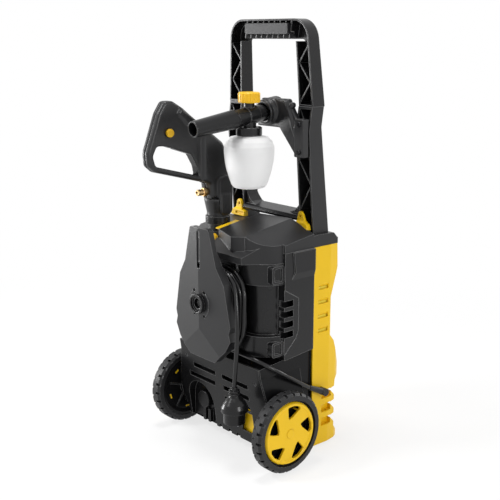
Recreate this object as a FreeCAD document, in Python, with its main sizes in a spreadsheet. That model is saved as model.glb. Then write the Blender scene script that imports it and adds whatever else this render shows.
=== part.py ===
import FreeCAD, Part
import math
import os
import Sketcher

# Upright electric pressure washer on two wheels.
# Frame: X to the right seen from behind, Y to the front cover, Z up, floor at Z = 0.
# Every place below is measured from the wheel axle in Y and from the floor in Z.

doc = FreeCAD.newDocument("pressure_washer")

# ---------------------------------------------------------------- driving sizes (mm, degrees)

SIZE_TABLE = {
    # common
    "axle_y": -11.8,
    "wall": 3,
    "seat_gap": 0.3,
    "running_gap": 0.06,
    # wheels
    "wheel_radius": 70,
    "wheel_width": 24,
    "wheel_face": 155,
    "rim_radius": 58,
    "cover_radius": 53.4,
    "hub_radius": 15,
    "axle_radius": 6,
    "tread_depth": 4.2,
    "tread_slot": 5,
    "tread_count": 26,
    # base
    "base_half": 110,
    "base_flare": 125,
    "base_floor": 20,
    "base_top": 178,
    "base_front_top": 190,
    "base_front": 88,
    "panel_top_y": -34,
    "panel_low_y": -10,
    "panel_low": 24,
    "slot_height": 9,
    "slot_pitch": 21.5,
    "slot_low": 88,
    "arch_x": -68.5,
    "arch_radius": 37,
    "arch_z": 65,
    "arch_depth": 13,
    "base_screw_x": 96,
    "base_screw_z": 149,
    "screw_radius": 3.4,
    # rear housing
    "body_half": 115,
    "corner_y": 21,
    "seam_y": 89,
    "reel_wall_y": -12,
    "housing_top": 371,
    "column_x": 60,
    "column_y": 25,
    "column_radius": 50,
    "recess_radius": 38,
    "recess_low": 228,
    "recess_high": 317,
    "column_seam": 354,
    "vent_pitch": 18,
    "vent_height": 11,
    "vent_low": 223,
    # top cover
    "roof_back": 395,
    "roof_rise": 0.17,
    "roof_left": -20,
    "roof_ridge": 65,
    "roof_edge_drop": 22,
    "canopy_y": -40,
    "canopy_low": 354,
    "canopy_edge": 365,
    "canopy_right": 74,
    "collar_top": 392,
    # front cover
    "front_top": 371,
    "front_top_y": 148,
    "front_waist_y": 131,
    "front_belly_y": 159.3,
    "front_foot_y": 158.5,
    "fin_reach": 148,
    "fin_back": 134,
    "fin_height": 15,
    "fin_pitch": 26,
    "fin_low": 51,
    "foot_pad": 4,
    # handle
    "leg_outer": 106,
    "leg_wide": 33,
    "leg_low": 382,
    "leg_joint": 607,
    "handle_top": 749,
    "handle_corner": 34,
    "grip_height": 33,
    "rib_thick": 2.4,
    "rib_pitch": 44,
    # cord hanger
    "hanger_y": -66,
    "hanger_ridge": 7,
    "hanger_flange": 14,
    "drum_half": 52,
    "drum_z": 268,
    "hub_z": 278,
    "hub_ring_radius": 17.5,
    "cord_diameter": 7.5,
    # gun
    "gun_x": -57,
    "gun_half": 16,
    "loop_half": 10,
    "trigger_half": 7,
    "trigger_pin_y": -13,
    "trigger_pin_z": 478,
    "holder_radius": 22,
    "holder_y": 16,
    "holder_top": 412,
    # foam lance
    "foam_x": 17,
    "foam_y": 26,
    "foam_z": 591,
    "foam_tilt": 7.5,
    "foam_tube_radius": 15,
    "bottle_radius": 43,
    "bottle_low": 469,
    "bottle_high": 560,
    "collar_radius": 22,
    "knob_radius": 18.7,
    "knob_low": 612,
    "knob_high": 630,
    # inside
    "switch_x": -30,
    "switch_z": 377,
    "motor_x": 46,
    "motor_y": 55,
    "motor_radius": 37,
    "motor_low": 212,
    "motor_high": 336,
    "shaft_radius": 5,
    "pump_y": 48,
}

sheet = doc.addObject("Spreadsheet::Sheet", "Sizes")
for row, (alias, number) in enumerate(SIZE_TABLE.items(), start=1):
    sheet.set("A%d" % row, alias)
    sheet.set("B%d" % row, str(number))
    sheet.setAlias("B%d" % row, alias)
doc.recompute()


class Size:
    """A number that remembers the sheet formula it came from."""

    def __init__(self, value, text):
        self.value = float(value)
        self.text = text

    def __add__(self, other):
        return combine(self, other, "+", lambda a, b: a + b)

    def __radd__(self, other):
        return combine(other, self, "+", lambda a, b: a + b)

    def __sub__(self, other):
        return combine(self, other, "-", lambda a, b: a - b)

    def __rsub__(self, other):
        return combine(other, self, "-", lambda a, b: a - b)

    def __mul__(self, other):
        return combine(self, other, "*", lambda a, b: a * b)

    def __rmul__(self, other):
        return combine(other, self, "*", lambda a, b: a * b)

    def __truediv__(self, other):
        return combine(self, other, "/", lambda a, b: a / b)

    def __neg__(self):
        return combine(0, self, "-", lambda a, b: a - b)


def as_size(number):
    return number if isinstance(number, Size) else Size(number, "%.9g" % number)


def combine(left, right, sign, work):
    left = as_size(left)
    right = as_size(right)
    return Size(work(left.value, right.value), "(%s %s %s)" % (left.text, sign, right.text))


class Sheet:
    """Gives each named size as an attribute."""

    def __getattr__(self, alias):
        return Size(SIZE_TABLE[alias], "Sizes." + alias)


s = Sheet()

# ---------------------------------------------------------------- helpers

X = FreeCAD.Vector(1, 0, 0)
Y = FreeCAD.Vector(0, 1, 0)
Z = FreeCAD.Vector(0, 0, 1)
UPRIGHT = FreeCAD.Rotation()
ALONG_X = FreeCAD.Rotation(Y, 90)
ALONG_Y = FreeCAD.Rotation(X, -90)
pieces = []


def bind(thing, prop, size):
    """Set a property from the sheet."""
    thing.setExpression(prop, as_size(size).text)


def place(thing, x=0, y=0, z=0, turn=UPRIGHT):
    """Put an object at x, y, z, with y measured from the axle."""
    thing.Placement = FreeCAD.Placement(FreeCAD.Vector(), turn)
    bind(thing, "Placement.Base.x", x)
    bind(thing, "Placement.Base.y", y + s.axle_y)
    bind(thing, "Placement.Base.z", z)
    return thing


def box(name, x, y, z):
    """A block between two limits on each axis."""
    block = doc.addObject("Part::Box", name)
    for prop, span in (("Length", x), ("Width", y), ("Height", z)):
        bind(block, prop, as_size(span[1]) - span[0])
    return place(block, x[0], y[0], z[0])


def cylinder(name, radius, length, x=0, y=0, z=0, turn=UPRIGHT):
    rod = doc.addObject("Part::Cylinder", name)
    bind(rod, "Radius", radius)
    bind(rod, "Height", length)
    return place(rod, x, y, z, turn)


def outline(body, plane, points):
    """A closed sketch whose corners are bound to the sheet."""
    sketch = body.newObject("Sketcher::SketchObject", body.Name + "_outline")
    sketch.AttachmentSupport = [(next(f for f in body.Origin.OriginFeatures
                                      if f.Role == plane + "_Plane"), "")]
    sketch.MapMode = "FlatFace"
    corners = [(as_size(a), as_size(b)) for a, b in points]
    places = [FreeCAD.Vector(a.value, b.value, 0) for a, b in corners]
    for start, end in zip(places, places[1:] + places[:1]):
        sketch.addGeometry(Part.LineSegment(start, end))
    for index, corner in enumerate(corners):
        sketch.addConstraint(Sketcher.Constraint(
            "Coincident", index, 2, (index + 1) % len(corners), 1))
        for kind, size in zip(("DistanceX", "DistanceY"), corner):
            number = sketch.addConstraint(Sketcher.Constraint(
                kind, -1, 1, index, 1, size.value))
            sketch.setExpression("Constraints[%d]" % number, size.text)
    return sketch


NORMALS = {"XY": Z, "XZ": Y, "YZ": X}


def prism(name, plane, points, start, end, round_at=(), radius=0):
    """Pad an outline along its plane's normal between two limits."""
    body = doc.addObject("PartDesign::Body", name)
    sketch = outline(body, plane, points)
    pad = body.newObject("PartDesign::Pad", name + "_pad")
    pad.Profile = sketch
    pad.Reversed = plane == "XZ"
    bind(pad, "Length", as_size(end) - start)
    if round_at:
        doc.recompute()
        fillet = body.newObject("PartDesign::Fillet", name + "_rounding")
        fillet.Base = (pad, corner_edges(pad, plane, points, round_at))
        bind(fillet, "Radius", radius)
        body.Tip = fillet
    shift = NORMALS[plane]
    return place(body, start if shift.x else 0, start if shift.y else 0, start if shift.z else 0)


def rounded(name, body, radius):
    """Round every edge of a padded body's two flat ends."""
    doc.recompute()
    base = body.Tip
    shape = base.Shape
    soft = body.newObject("PartDesign::Fillet", name)
    ends = (shape.BoundBox.XMin, shape.BoundBox.XMax)
    names = []
    for number, edge in enumerate(shape.Edges, start=1):
        if any(all(abs(v.Point.x - end) < 1e-4 for v in edge.Vertexes) for end in ends):
            names.append("Edge%d" % number)
    soft.Base = (base, names)
    bind(soft, "Radius", radius)
    body.Tip = soft
    return body


def corner_edges(pad, plane, points, round_at):
    """Names of the pad's edges that run through the chosen outline corners."""
    names = []
    for number, edge in enumerate(pad.Shape.Edges, start=1):
        low, high = edge.Vertexes[0].Point, edge.Vertexes[-1].Point
        if (high - low).cross(NORMALS[plane]).Length > 1e-6:
            continue
        flat = {"XY": (low.x, low.y), "XZ": (low.x, low.z), "YZ": (low.y, low.z)}[plane]
        for index in round_at:
            corner = [as_size(c).value for c in points[index]]
            if math.dist(flat, corner) < 1e-4:
                names.append("Edge%d" % number)
    return names


def turned(name, points, x=0, y=0, z=0, turn=UPRIGHT):
    """Revolve a radius-and-height profile about its own upright axis."""
    body = doc.addObject("PartDesign::Body", name)
    sketch = outline(body, "XZ", points)
    spin = body.newObject("PartDesign::Revolution", name + "_turn")
    spin.Profile = sketch
    spin.ReferenceAxis = (sketch, ["V_Axis"])
    return place(body, x, y, z, turn)


def fuse(name, *parts):
    joined = doc.addObject("Part::MultiFuse", name)
    joined.Shapes = list(parts)
    return joined


def common(name, *parts):
    shared = doc.addObject("Part::MultiCommon", name)
    shared.Shapes = list(parts)
    return shared


def cut(name, base, *tools):
    opened = doc.addObject("Part::Cut", name)
    opened.Base = base
    opened.Tool = tools[0] if len(tools) == 1 else fuse(name + "_tools", *tools)
    return opened


def mirrored(name, part):
    other = doc.addObject("Part::Mirroring", name)
    other.Source = part
    other.Normal = X
    return other


def piece(label, part):
    """Name a finished sub-part, which also names its file."""
    part.Label = label
    pieces.append(part)
    return part


# ---------------------------------------------------------------- wheels

def wheel(side, sign):
    """Tyre, rim and cover of one wheel, outer face away from the machine."""
    inner = s.wheel_face - s.wheel_width
    start = inner if sign > 0 else -s.wheel_face
    tyre_ring = turned("tyre_ring_" + side, [
        (s.rim_radius + s.seat_gap, 0), (s.wheel_radius - 4, 0), (s.wheel_radius, 4),
        (s.wheel_radius, s.wheel_width - 4), (s.wheel_radius - 4, s.wheel_width),
        (s.rim_radius + s.seat_gap, s.wheel_width)], start, 0, s.wheel_radius, ALONG_X)
    slots = []
    count = int(s.tread_count.value)
    for number in range(count):
        for row in (0, 1):
            angle = 360 / count * (number + 0.5 * row)
            slot = doc.addObject("Part::Box", "tread_%s_%d_%d" % (side, number, row))
            bind(slot, "Length", s.wheel_width / 2 - 2)
            bind(slot, "Width", s.tread_slot)
            bind(slot, "Height", s.tread_depth + 2)
            turn = FreeCAD.Rotation(X, angle)
            lift = math.cos(math.radians(angle))
            lean = math.sin(math.radians(angle))
            reach = s.wheel_radius - s.tread_depth
            near = reach * -lean - s.tread_slot / 2 * lift
            high = reach * lift - s.tread_slot / 2 * lean
            place(slot, start + row * (s.wheel_width / 2 + 2), near, s.wheel_radius + high, turn)
            slots.append(slot)
    piece("tyre_" + side, cut("tyre_cut_" + side, tyre_ring, *slots))

    web = 10
    outward = s.wheel_width - 3
    profile = [
        (s.axle_radius + s.running_gap, 0), (s.hub_radius, 0), (s.hub_radius, web - 4),
        (s.rim_radius - 12, web - 7), (s.rim_radius - 5, 1), (s.rim_radius, 1),
        (s.rim_radius, outward - 4), (s.rim_radius - 3, outward - 4), (s.rim_radius - 3, 4),
        (s.rim_radius - 10, web - 3), (s.hub_radius - 2, web), (s.hub_radius - 2, outward - 3),
        (s.axle_radius + s.running_gap, outward - 3)]
    if sign < 0:
        profile = [(radius, s.wheel_width - height) for radius, height in profile]
    rim_ribs = []
    tab_ways = []
    tabs = []
    for number in range(5):
        angle = 72 * number
        rib_span = (3, web - 3) if sign > 0 else (s.wheel_width - web + 3, s.wheel_width - 3)
        rim_ribs.append(spoke("rim_rib_%s_%d" % (side, number), s.hub_radius - 1, s.rim_radius - 11, 1.2, start,
                              rib_span, angle))
        tab_span = (2.5, outward - 2) if sign > 0 else (s.wheel_width - outward + 2, s.wheel_width - 2.5)
        way_span = (0, s.wheel_width)
        tabs.append(spoke("cover_tab_%s_%d" % (side, number), 40, 43, 4.5, start, tab_span, angle + 36))
        tab_ways.append(spoke("tab_way_%s_%d" % (side, number), 39.8, 43.2, 4.7, start, way_span, angle + 36))
    hub = turned("rim_turn_" + side, profile, start, 0, s.wheel_radius, ALONG_X)
    piece("rim_" + side, cut("rim_cut_" + side, fuse("rim_fuse_" + side, hub, *rim_ribs), *tab_ways))

    face = [
        (0, outward - 2.6), (s.cover_radius - 3, outward - 2.6), (s.cover_radius - 3, outward - 4),
        (s.rim_radius - 3.3, outward - 4), (s.rim_radius - 3.3, outward - 0.5),
        (s.cover_radius - 1, s.wheel_width), (s.cover_radius - 4, s.wheel_width),
        (s.cover_radius - 6, s.wheel_width - 1.5), (s.hub_radius, s.wheel_width - 0.8),
        (8.6, s.wheel_width - 0.8), (8.2, s.wheel_width - 1.6), (7.8, s.wheel_width), (0, s.wheel_width)]
    if sign < 0:
        face = [(radius, s.wheel_width - height) for radius, height in face]
    disc = turned("cover_disc_" + side, face, start, 0, s.wheel_radius, ALONG_X)
    windows = []
    for number in range(5):
        windows.append(window("window_%s_%d" % (side, number), start, 72 * number, sign))
    piece("wheel_cover_" + side, fuse("cover_fuse_" + side, cut("cover_cut_" + side, disc, *windows), *tabs))


def spoke(name, low, high, half, start, span, angle):
    """A radial block between two radii and two distances from the wheel's start face."""
    block = prism(name, "YZ", [(-half, low), (half, low), (half, high), (-half, high)], start + span[0],
                  start + span[1])
    place(block, start + span[0], 0, s.wheel_radius, FreeCAD.Rotation(X, angle))
    return block


def window(name, start, angle, sign):
    """One of the five tapered windows between the spokes of a wheel cover."""
    low, high = s.cover_radius - 28, s.cover_radius - 5.5
    opening = prism(name, "YZ", [(-4, low), (4, low + 2), (24, high - 9), (19, high - 3), (8, high),
                                 (-5, high - 1)], start - 1, start + s.wheel_width + 1, range(6), 2.2)
    swing = FreeCAD.Rotation(X, angle * -sign)
    place(opening, start - 1, 0, s.wheel_radius, swing)
    return opening


for side, sign in (("left", -1), ("right", 1)):
    wheel(side, sign)

stub_inner = s.base_flare - 15
stub_outer = s.wheel_face - 6
for side, start in (("left", -stub_outer), ("right", stub_inner)):
    piece("axle_" + side, cylinder("axle_stub_" + side, s.axle_radius, stub_outer - stub_inner,
                                   start, 0, s.wheel_radius, ALONG_X))

# ---------------------------------------------------------------- base

deck_slope = (s.base_front_top - s.base_top) / (s.base_front - s.panel_top_y - s.wall)
panel_run = s.base_top - s.panel_low
panel_fall = s.panel_low_y - s.panel_top_y
side_profile = [
    (s.panel_top_y + s.wall, s.base_top), (s.panel_low_y + s.wall, s.panel_low),
    (s.panel_low_y + 12, s.base_floor), (s.base_front, s.base_floor - 6),
    (s.base_front, s.base_front_top)]


def tub_front(inset):
    """Half-outline of the base seen from behind, flared over the wheels, mirrored to both sides."""
    half = [(s.base_half, s.base_front_top + 10), (s.base_half, 160), (s.base_half + 8, 126),
            (s.base_flare, 102), (s.base_flare, 60), (s.base_half + 2, 36), (s.base_half + 2, 0)]
    right = [(x - inset, z) for x, z in half]
    return right + [(-x, z) for x, z in reversed(right)]


tub = common("tub", prism("tub_side", "YZ", side_profile, -150, 150, (1, 2), 6),
             fuse("tub_plan", prism("tub_flared", "XZ", tub_front(0), s.panel_top_y, 62),
                  box("tub_square", (-s.base_half, s.base_half), (60, s.base_front), (0, 210))))
tub_void = common(
    "tub_void", prism("void_side", "YZ", [
        (s.panel_top_y - 20, s.base_front_top + 10), (s.panel_top_y - 20, s.panel_low + s.wall),
        (s.panel_low_y + 12, s.base_floor + s.wall), (s.base_front + 10, s.base_floor - 6 + s.wall),
        (s.base_front + 10, s.base_front_top + 10)], -150, 150),
    fuse("void_plan", prism("void_flared", "XZ", tub_front(s.wall), s.panel_top_y - 5, 62 - s.wall),
         box("void_square", (s.wall - s.base_half, s.base_half - s.wall), (50, s.base_front + 5),
             (0, 215))))
tub_walls = cut("tub_walls", tub, tub_void)
deck_back = s.panel_top_y + s.wall
deck = prism("deck", "YZ", [
    (deck_back, s.base_top - s.wall), (deck_back, s.base_top),
    (deck_back + 56, s.base_top + 56 * deck_slope), (deck_back + 56, s.base_top + 56 * deck_slope - s.wall)],
    -s.base_half, s.base_half)
inner_wheel = s.wheel_face - s.wheel_width
front_wall = box("front_wall", (3 - s.base_half, s.base_half - 3),
                 (s.base_front - s.wall, s.base_front), (66, 160))
base_parts = [tub_walls, deck, front_wall]
for side, sign in (("left", -1), ("right", 1)):
    outer = inner_wheel - 1.5
    span = (stub_inner, outer) if sign > 0 else (-outer, -stub_inner)
    base_parts.append(prism("axle_boss_" + side, "YZ", [
        (-18, 48), (-10, 44), (22, 44), (30, 58), (22, 92), (-14, 96), (-20, 84)],
        span[0], span[1], range(7), 3))
    near = s.base_screw_x - 7 if sign > 0 else -s.base_half
    far = s.base_half if sign > 0 else 7 - s.base_screw_x
    base_parts.append(box("screw_block_" + side, (near, far), (s.panel_top_y, -4),
                          (s.base_screw_z - 8, s.base_screw_z + 8)))
behind_panel = prism("behind_panel", "YZ", [
    (s.panel_top_y + s.wall, s.base_top), (s.panel_top_y + s.wall, s.base_top + 30),
    (s.panel_top_y - 40, s.base_top + 30), (s.panel_top_y - 40, 0), (s.panel_low_y + s.wall, 0),
    (s.panel_low_y + s.wall, s.panel_low)], -s.base_half - 30, s.base_half + 30)
axle_bore = cylinder("axle_bore", s.axle_radius + s.running_gap, 300, -150, 0, s.wheel_radius, ALONG_X)
base_solid = fuse("base_solid", *base_parts)
screw_bores = [cylinder("screw_bore_" + side, s.screw_radius - s.seat_gap, 20, s.base_screw_x * sign, -36,
                        s.base_screw_z, ALONG_Y) for side, sign in (("left", -1), ("right", 1))]
piece("base_frame", cut("base_frame_cut", base_solid, behind_panel, axle_bore, *screw_bores))

panel = common("panel", prism("panel_slab", "YZ", [
    (s.panel_top_y, s.base_top), (s.panel_top_y + s.wall, s.base_top),
    (s.panel_low_y + s.wall, s.panel_low), (s.panel_low_y, s.panel_low)], -150, 150),
    prism("panel_front", "XZ", tub_front(0), s.panel_top_y - 5, s.panel_low_y + 10))
arch_points = [(s.arch_x - s.arch_radius, s.panel_low - 10), (s.arch_x + s.arch_radius, s.panel_low - 10),
               (s.arch_x + s.arch_radius, s.arch_z + s.arch_radius),
               (s.arch_x - s.arch_radius, s.arch_z + s.arch_radius)]
arch_floor_y = s.panel_low_y - 6 + s.arch_depth
arch_hole = prism("arch_hole", "XZ", arch_points, s.panel_top_y - 10, arch_floor_y, (2, 3),
                  s.arch_radius - 1)
grown = [(s.arch_x - s.arch_radius - s.wall, s.panel_low),
         (s.arch_x + s.arch_radius + s.wall, s.panel_low),
         (s.arch_x + s.arch_radius + s.wall, s.arch_z + s.arch_radius + s.wall),
         (s.arch_x - s.arch_radius - s.wall, s.arch_z + s.arch_radius + s.wall)]
arch_cup = prism("arch_cup", "XZ", grown, s.panel_top_y, arch_floor_y + s.wall, (2, 3),
                 s.arch_radius + s.wall - 1)
cup_trim = prism("cup_trim", "YZ", [
    (s.panel_top_y, s.base_top), (s.panel_top_y + 60, s.base_top), (s.panel_low_y + 60, s.panel_low),
    (s.panel_low_y, s.panel_low)], -s.base_half, s.base_half)
arch_shell = common("arch_shell", arch_cup, cup_trim)
stub = cylinder("inlet_stub", 13, 9, s.arch_x, arch_floor_y - 6, s.arch_z, ALONG_Y)
posts = [box("arch_post_%d" % n, (s.arch_x + x, s.arch_x + x + 6), (arch_floor_y - 7, arch_floor_y + 1),
             (s.panel_low, s.arch_z - 17)) for n, x in enumerate((-3, 11))]
panel_holes = [arch_hole]
for row in range(3):
    low = s.slot_low + s.slot_pitch * row
    panel_holes.append(box("slot_right_%d" % row, (5, 75), (s.panel_top_y - 5, s.panel_low_y + 5),
                           (low, low + s.slot_height)))
for row, reach in ((1, (-93, -18)), (2, (-77, -14))):
    low = s.slot_low + s.slot_pitch * row
    panel_holes.append(box("slot_left_%d" % row, reach, (s.panel_top_y - 5, s.panel_low_y + 5),
                           (low, low + s.slot_height)))
panel_holes.append(prism("low_window", "XZ", [(44, 44), (78, 44), (78, 84), (58, 84)],
                         s.panel_top_y - 5, s.panel_low_y + 8))
for number, x in enumerate((-24, 2, 26)):
    panel_holes.append(box("low_notch_%d" % number, (x, x + 9), (s.panel_top_y, s.panel_low_y + 8),
                           (s.panel_low - 2, s.panel_low + 7)))
for side, sign in (("left", -1), ("right", 1)):
    panel_holes.append(cylinder("panel_screw_hole_" + side, s.screw_radius, 60,
                                s.base_screw_x * sign, s.panel_top_y - 10, s.base_screw_z, ALONG_Y))
panel_solid = fuse("panel_solid", panel, arch_shell)
panel_open = cut("panel_open", panel_solid, *panel_holes)
piece("base_rear_panel", fuse("panel_with_stub", panel_open, stub, *posts))

panel_lean = panel_fall / panel_run
screw_face_y = s.panel_top_y + (s.base_top - s.base_screw_z) * panel_lean
panel_screws = [
    cylinder("panel_screw_" + side, s.screw_radius - s.seat_gap, s.wall + 2, s.base_screw_x * sign,
             screw_face_y + 0.5, s.base_screw_z, ALONG_Y) for side, sign in (("left", -1), ("right", 1))]
piece("panel_screws", fuse("panel_screw_pair", *panel_screws))

# water inlet cap in the arch
cap_back = arch_floor_y - 6 - 6
inlet_cap = turned("inlet_cap_turn", [
    (0, 0), (15, 0), (16, 1), (16, 9.7), (13 + s.seat_gap, 9.7), (13 + s.seat_gap, 3.7), (0, 3.7)],
    s.arch_x, cap_back + 2, s.arch_z, ALONG_Y)
piece("inlet_cap", inlet_cap)


# ---------------------------------------------------------------- rear housing

housing_low = 165


def below_deck(name, lift):
    """Everything under the slanted line that the base and the housing share."""
    back, front = -60, 170
    low = s.base_top + (back - deck_back) * deck_slope + lift
    high = s.base_top + (front - deck_back) * deck_slope + lift
    return prism(name, "YZ", [(back, low), (front, high), (front, 100), (back, 100)], -150, 150)


def housing_plan(inset):
    """The housing seen from above: flat reel wall, side flanges and side walls."""
    return [(inset - s.body_half, s.seam_y), (inset - s.body_half, s.corner_y + inset),
            (inset - 97, s.reel_wall_y + inset), (s.column_x, s.reel_wall_y + inset),
            (s.column_x, s.corner_y + inset), (s.body_half - inset, s.corner_y + inset),
            (s.body_half - inset, s.seam_y)]


def column(name, inset, low, high):
    """The round motor bulge with its recess between two bands."""
    return turned(name, [
        (0, low), (s.column_radius - inset, low), (s.column_radius - inset, s.recess_low - inset),
        (s.recess_radius - inset, s.recess_low - inset), (s.recess_radius - inset, s.recess_high + inset),
        (s.column_radius - inset, s.recess_high + inset), (s.column_radius - inset, high), (0, high)],
        s.column_x, s.column_y, 0)


housing_outer = fuse(
    "housing_outer", prism("housing_block", "XY", housing_plan(0), housing_low, s.housing_top),
    cut("column_back", column("column_outer", 0, 192, s.column_seam),
        box("column_front", (0, 150), (s.seam_y - 30, 200), (100, 400))))
inside_plan = housing_plan(s.wall)
inside_plan[0] = (s.wall - s.body_half, s.seam_y + 10)
inside_plan[-1] = (s.body_half - s.wall, s.seam_y + 10)
housing_void = cut(
    "housing_void", fuse("housing_rooms",
                         prism("housing_room", "XY", inside_plan, housing_low - 20, s.housing_top + 10),
                         column("column_inner", s.wall, 192 + s.wall, s.column_seam + 5)),
    below_deck("housing_floor", s.wall))
floor_opening = box("floor_opening", (-97, 97), (26, s.seam_y + 20), (housing_low - 10, 210))
housing_cuts = [housing_void, floor_opening, below_deck("housing_base_line", 0)]
for side, sign in (("left", -1), ("right", 1)):
    hexagon = prism("vent_recess_" + side, "YZ", [
        (15, 312), (24, 306), (53, 289), (53, 232), (48, 219), (20, 192), (15, 190)],
        *((s.body_half - 1.2, s.body_half + 5) if sign > 0 else (-s.body_half - 5, 1.2 - s.body_half)))
    housing_cuts.append(hexagon)
    for row in range(4):
        low = s.vent_low + s.vent_pitch * row
        near, far = (s.body_half - 13, s.body_half + 5)
        span = (near, far) if sign > 0 else (-far, -near)
        housing_cuts.append(box("vent_%s_%d" % (side, row), span, (s.corner_y - 5, s.corner_y + 21),
                                (low, low + s.vent_height)))
housing_cuts += [cylinder("flange_hole_%d" % n, s.screw_radius, 12, 107 * sign, s.corner_y - 4, 364, ALONG_Y)
                 for n, sign in enumerate((-1, 1))]
housing_shell = cut("housing_shell", housing_outer, *housing_cuts)
housing_parts = [housing_shell]
for side, sign in (("left", -1), ("right", 1)):
    span = (s.body_half - 1, s.body_half + 2) if sign > 0 else (-s.body_half - 2, 1 - s.body_half)
    wedge = [(100, 319), (s.body_half - 1, 319), (s.body_half + 3, 334), (s.body_half + 3, s.housing_top - 1),
             (100, s.housing_top - 1)]
    wedge = wedge if sign > 0 else [(-x, z) for x, z in reversed(wedge)]
    pad = prism("side_pad_" + side, "YZ", [
        (s.corner_y + 18, s.housing_top - 1), (s.corner_y + 22, 336), (s.corner_y + 13, 319), (s.seam_y, 319),
        (s.seam_y, s.housing_top - 1)], *((100, 125) if sign > 0 else (-125, -100)))
    pad = common("side_pad_form_" + side, pad, prism("side_pad_slope_" + side, "XZ", wedge, 20, 120))
    hollow = box("side_pad_room_" + side, (-101.5, 101.5), (20, 120), (300, 400))
    housing_parts.append(cut("side_pad_cut_" + side, pad, hollow))
for name, low, high in (("low", 193, 219), ("high", 321, 351)):
    housing_parts.append(cut(
        "clip_%s_block" % name,
        prism("clip_%s_frame" % name, "YZ", [(-5, low), (21, low), (21, high), (-5, high)],
              s.column_x + 30, s.column_x + 52.5, range(4), 4),
        prism("clip_%s_hole" % name, "YZ", [(0, low + 4), (16, low + 4), (16, high - 4), (0, high - 4)],
              s.column_x + 20, s.column_x + 60, range(4), 2),
        cylinder("clip_%s_room" % name, s.column_radius - 1, 300, s.column_x, s.column_y, 150)))
piece("rear_housing", fuse("rear_housing_fuse", *housing_parts))

# ---------------------------------------------------------------- top cover


def tilted(name, points, start, end, rise):
    """An X-Z profile drawn about the roof's height and leaned so that it rises to the front."""
    slab = prism(name, "XZ", points, start, end)
    place(slab, 0, start, s.roof_back + start * rise,
          FreeCAD.Rotation(X, math.degrees(math.atan(rise.value))))
    return slab


def roof_form(name, inset):
    """The solid under the top cover's skin, drawn in by a wall for its inside."""
    seam = s.housing_top - (10 if inset.value else 0)
    half = s.body_half - 1 - inset
    plan = prism(name + "_plan", "XY", [
        (-half, 146 - inset), (-half, s.corner_y + inset), (-86, -12 + inset), (s.roof_left, -12 + inset),
        (s.roof_left + 60, -34 + inset), (66, -26 + inset), (66, s.corner_y + inset),
        (half, s.corner_y + inset), (half, 146 - inset)], seam, 440)
    left = s.roof_left + inset
    profile = tilted(name + "_roof", [
        (-150, -90), (-150, -14 - inset), (left, -9 - inset), (left, 3 - inset),
        (s.roof_ridge, 7 - inset), (150, 7 - s.roof_edge_drop * 1.7 - inset), (150, -90)], -80, 190, s.roof_rise)
    front = prism(name + "_front", "YZ", [
        (-90, 340), (-90, 440), (72, 440), (88 - inset, 392 - inset), (150, 381 - inset), (150, 340)], -150, 150)
    bulge = cylinder(name + "_bulge", s.column_radius - inset, 70, s.column_x, s.column_y,
                     s.column_seam - (10 if inset.value else 0))
    low = s.canopy_low - (10 if inset.value else 0)
    canopy = common(name + "_canopy", prism(name + "_canopy_plan", "XY", [
        (s.roof_left + inset, 12), (s.roof_left + inset, s.canopy_y + inset),
        (s.canopy_right - inset, s.canopy_y + inset), (92 - inset, -13), (60, 12)], low, 400),
        prism(name + "_canopy_side", "YZ", [
            (s.canopy_y - 5, low), (s.canopy_y - 5, s.canopy_edge - 8 - inset),
            (s.canopy_y, s.canopy_edge - inset),
            (-15, 381 - inset), (12, 385 - inset), (12, low)], -150, 150))
    return fuse(name, common(name + "_top", fuse(name + "_plan_set", plan, bulge), profile, front), canopy)


cover_parts = [cut("roof_shell", roof_form("roof_outer", as_size(0)), roof_form("roof_inner", s.wall))]
leg_inner = s.leg_outer - s.leg_wide
for side, sign in (("left", -1), ("right", 1)):
    near, far = leg_inner - 4, s.body_half - 1
    span = (near, far) if sign > 0 else (-far, -near)
    cover_parts.append(prism("collar_" + side, "YZ", [
        (88, s.housing_top), (91, s.collar_top), (136, s.collar_top - 1), (146, 380), (146, s.housing_top)],
        span[0], span[1], (1, 2), 3))
holder_low = 375
cover_parts.append(cylinder("holder_seat", s.holder_radius - 4, s.holder_top - 14 - holder_low,
                            s.gun_x, s.holder_y, holder_low))


def leg_side(back, front, low, high):
    """A handle leg seen from the side, kinked where the upper handle joins."""
    return [(94.5 + back, low), (80.6 + back, 567.5), (86.7 + back, high), (113.7 + front, high),
            (108.7 + front, 573), (131 + front, low)]


sockets = []
for side, sign in (("left", -1), ("right", 1)):
    gap = s.seat_gap
    near, far = leg_inner - gap, s.leg_outer + gap
    span = (near, far) if sign > 0 else (-far, -near)
    sockets.append(prism("socket_" + side, "YZ", leg_side(-gap, gap, s.leg_low, s.leg_joint), *span))
bore = cylinder("holder_bore", 15, 60, s.gun_x, s.holder_y, s.leg_low - 6)
cover_solid = fuse("cover_solid", *cover_parts)
notches = [box("bracket_notch_" + side, span, (82.7, 100), (398.7, 440))
           for side, span in (("left", (-101.5, -63.5)), ("right", (63.5, 101.5)))]
seam_block = prism("seam_block", "XY", housing_plan(0), s.column_seam - 5, s.housing_top)
holder_recess = cylinder("holder_recess", s.holder_radius - 4.3, 20, s.gun_x, s.holder_y, s.holder_top - 17.2)
holder_face = cylinder("holder_face", s.holder_radius + 0.2, 20, s.gun_x, s.holder_y, s.holder_top - 14)
knob_way = cylinder("knob_way", 3 + s.running_gap, 20, s.switch_x, s.reel_wall_y - 5, s.switch_z, ALONG_Y)
piece("top_cover", cut("top_cover_cut", cover_solid, bore, seam_block, holder_recess, holder_face, knob_way,
                       *notches, *sockets))

strip = prism("strip", "YZ", [(-9, 394.5), (-9, 396), (36, 404), (36, 393), (4, 387.3)],
              s.roof_left - 12, s.roof_left)
piece("trim_strip", strip)

# ---------------------------------------------------------------- front cover

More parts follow.
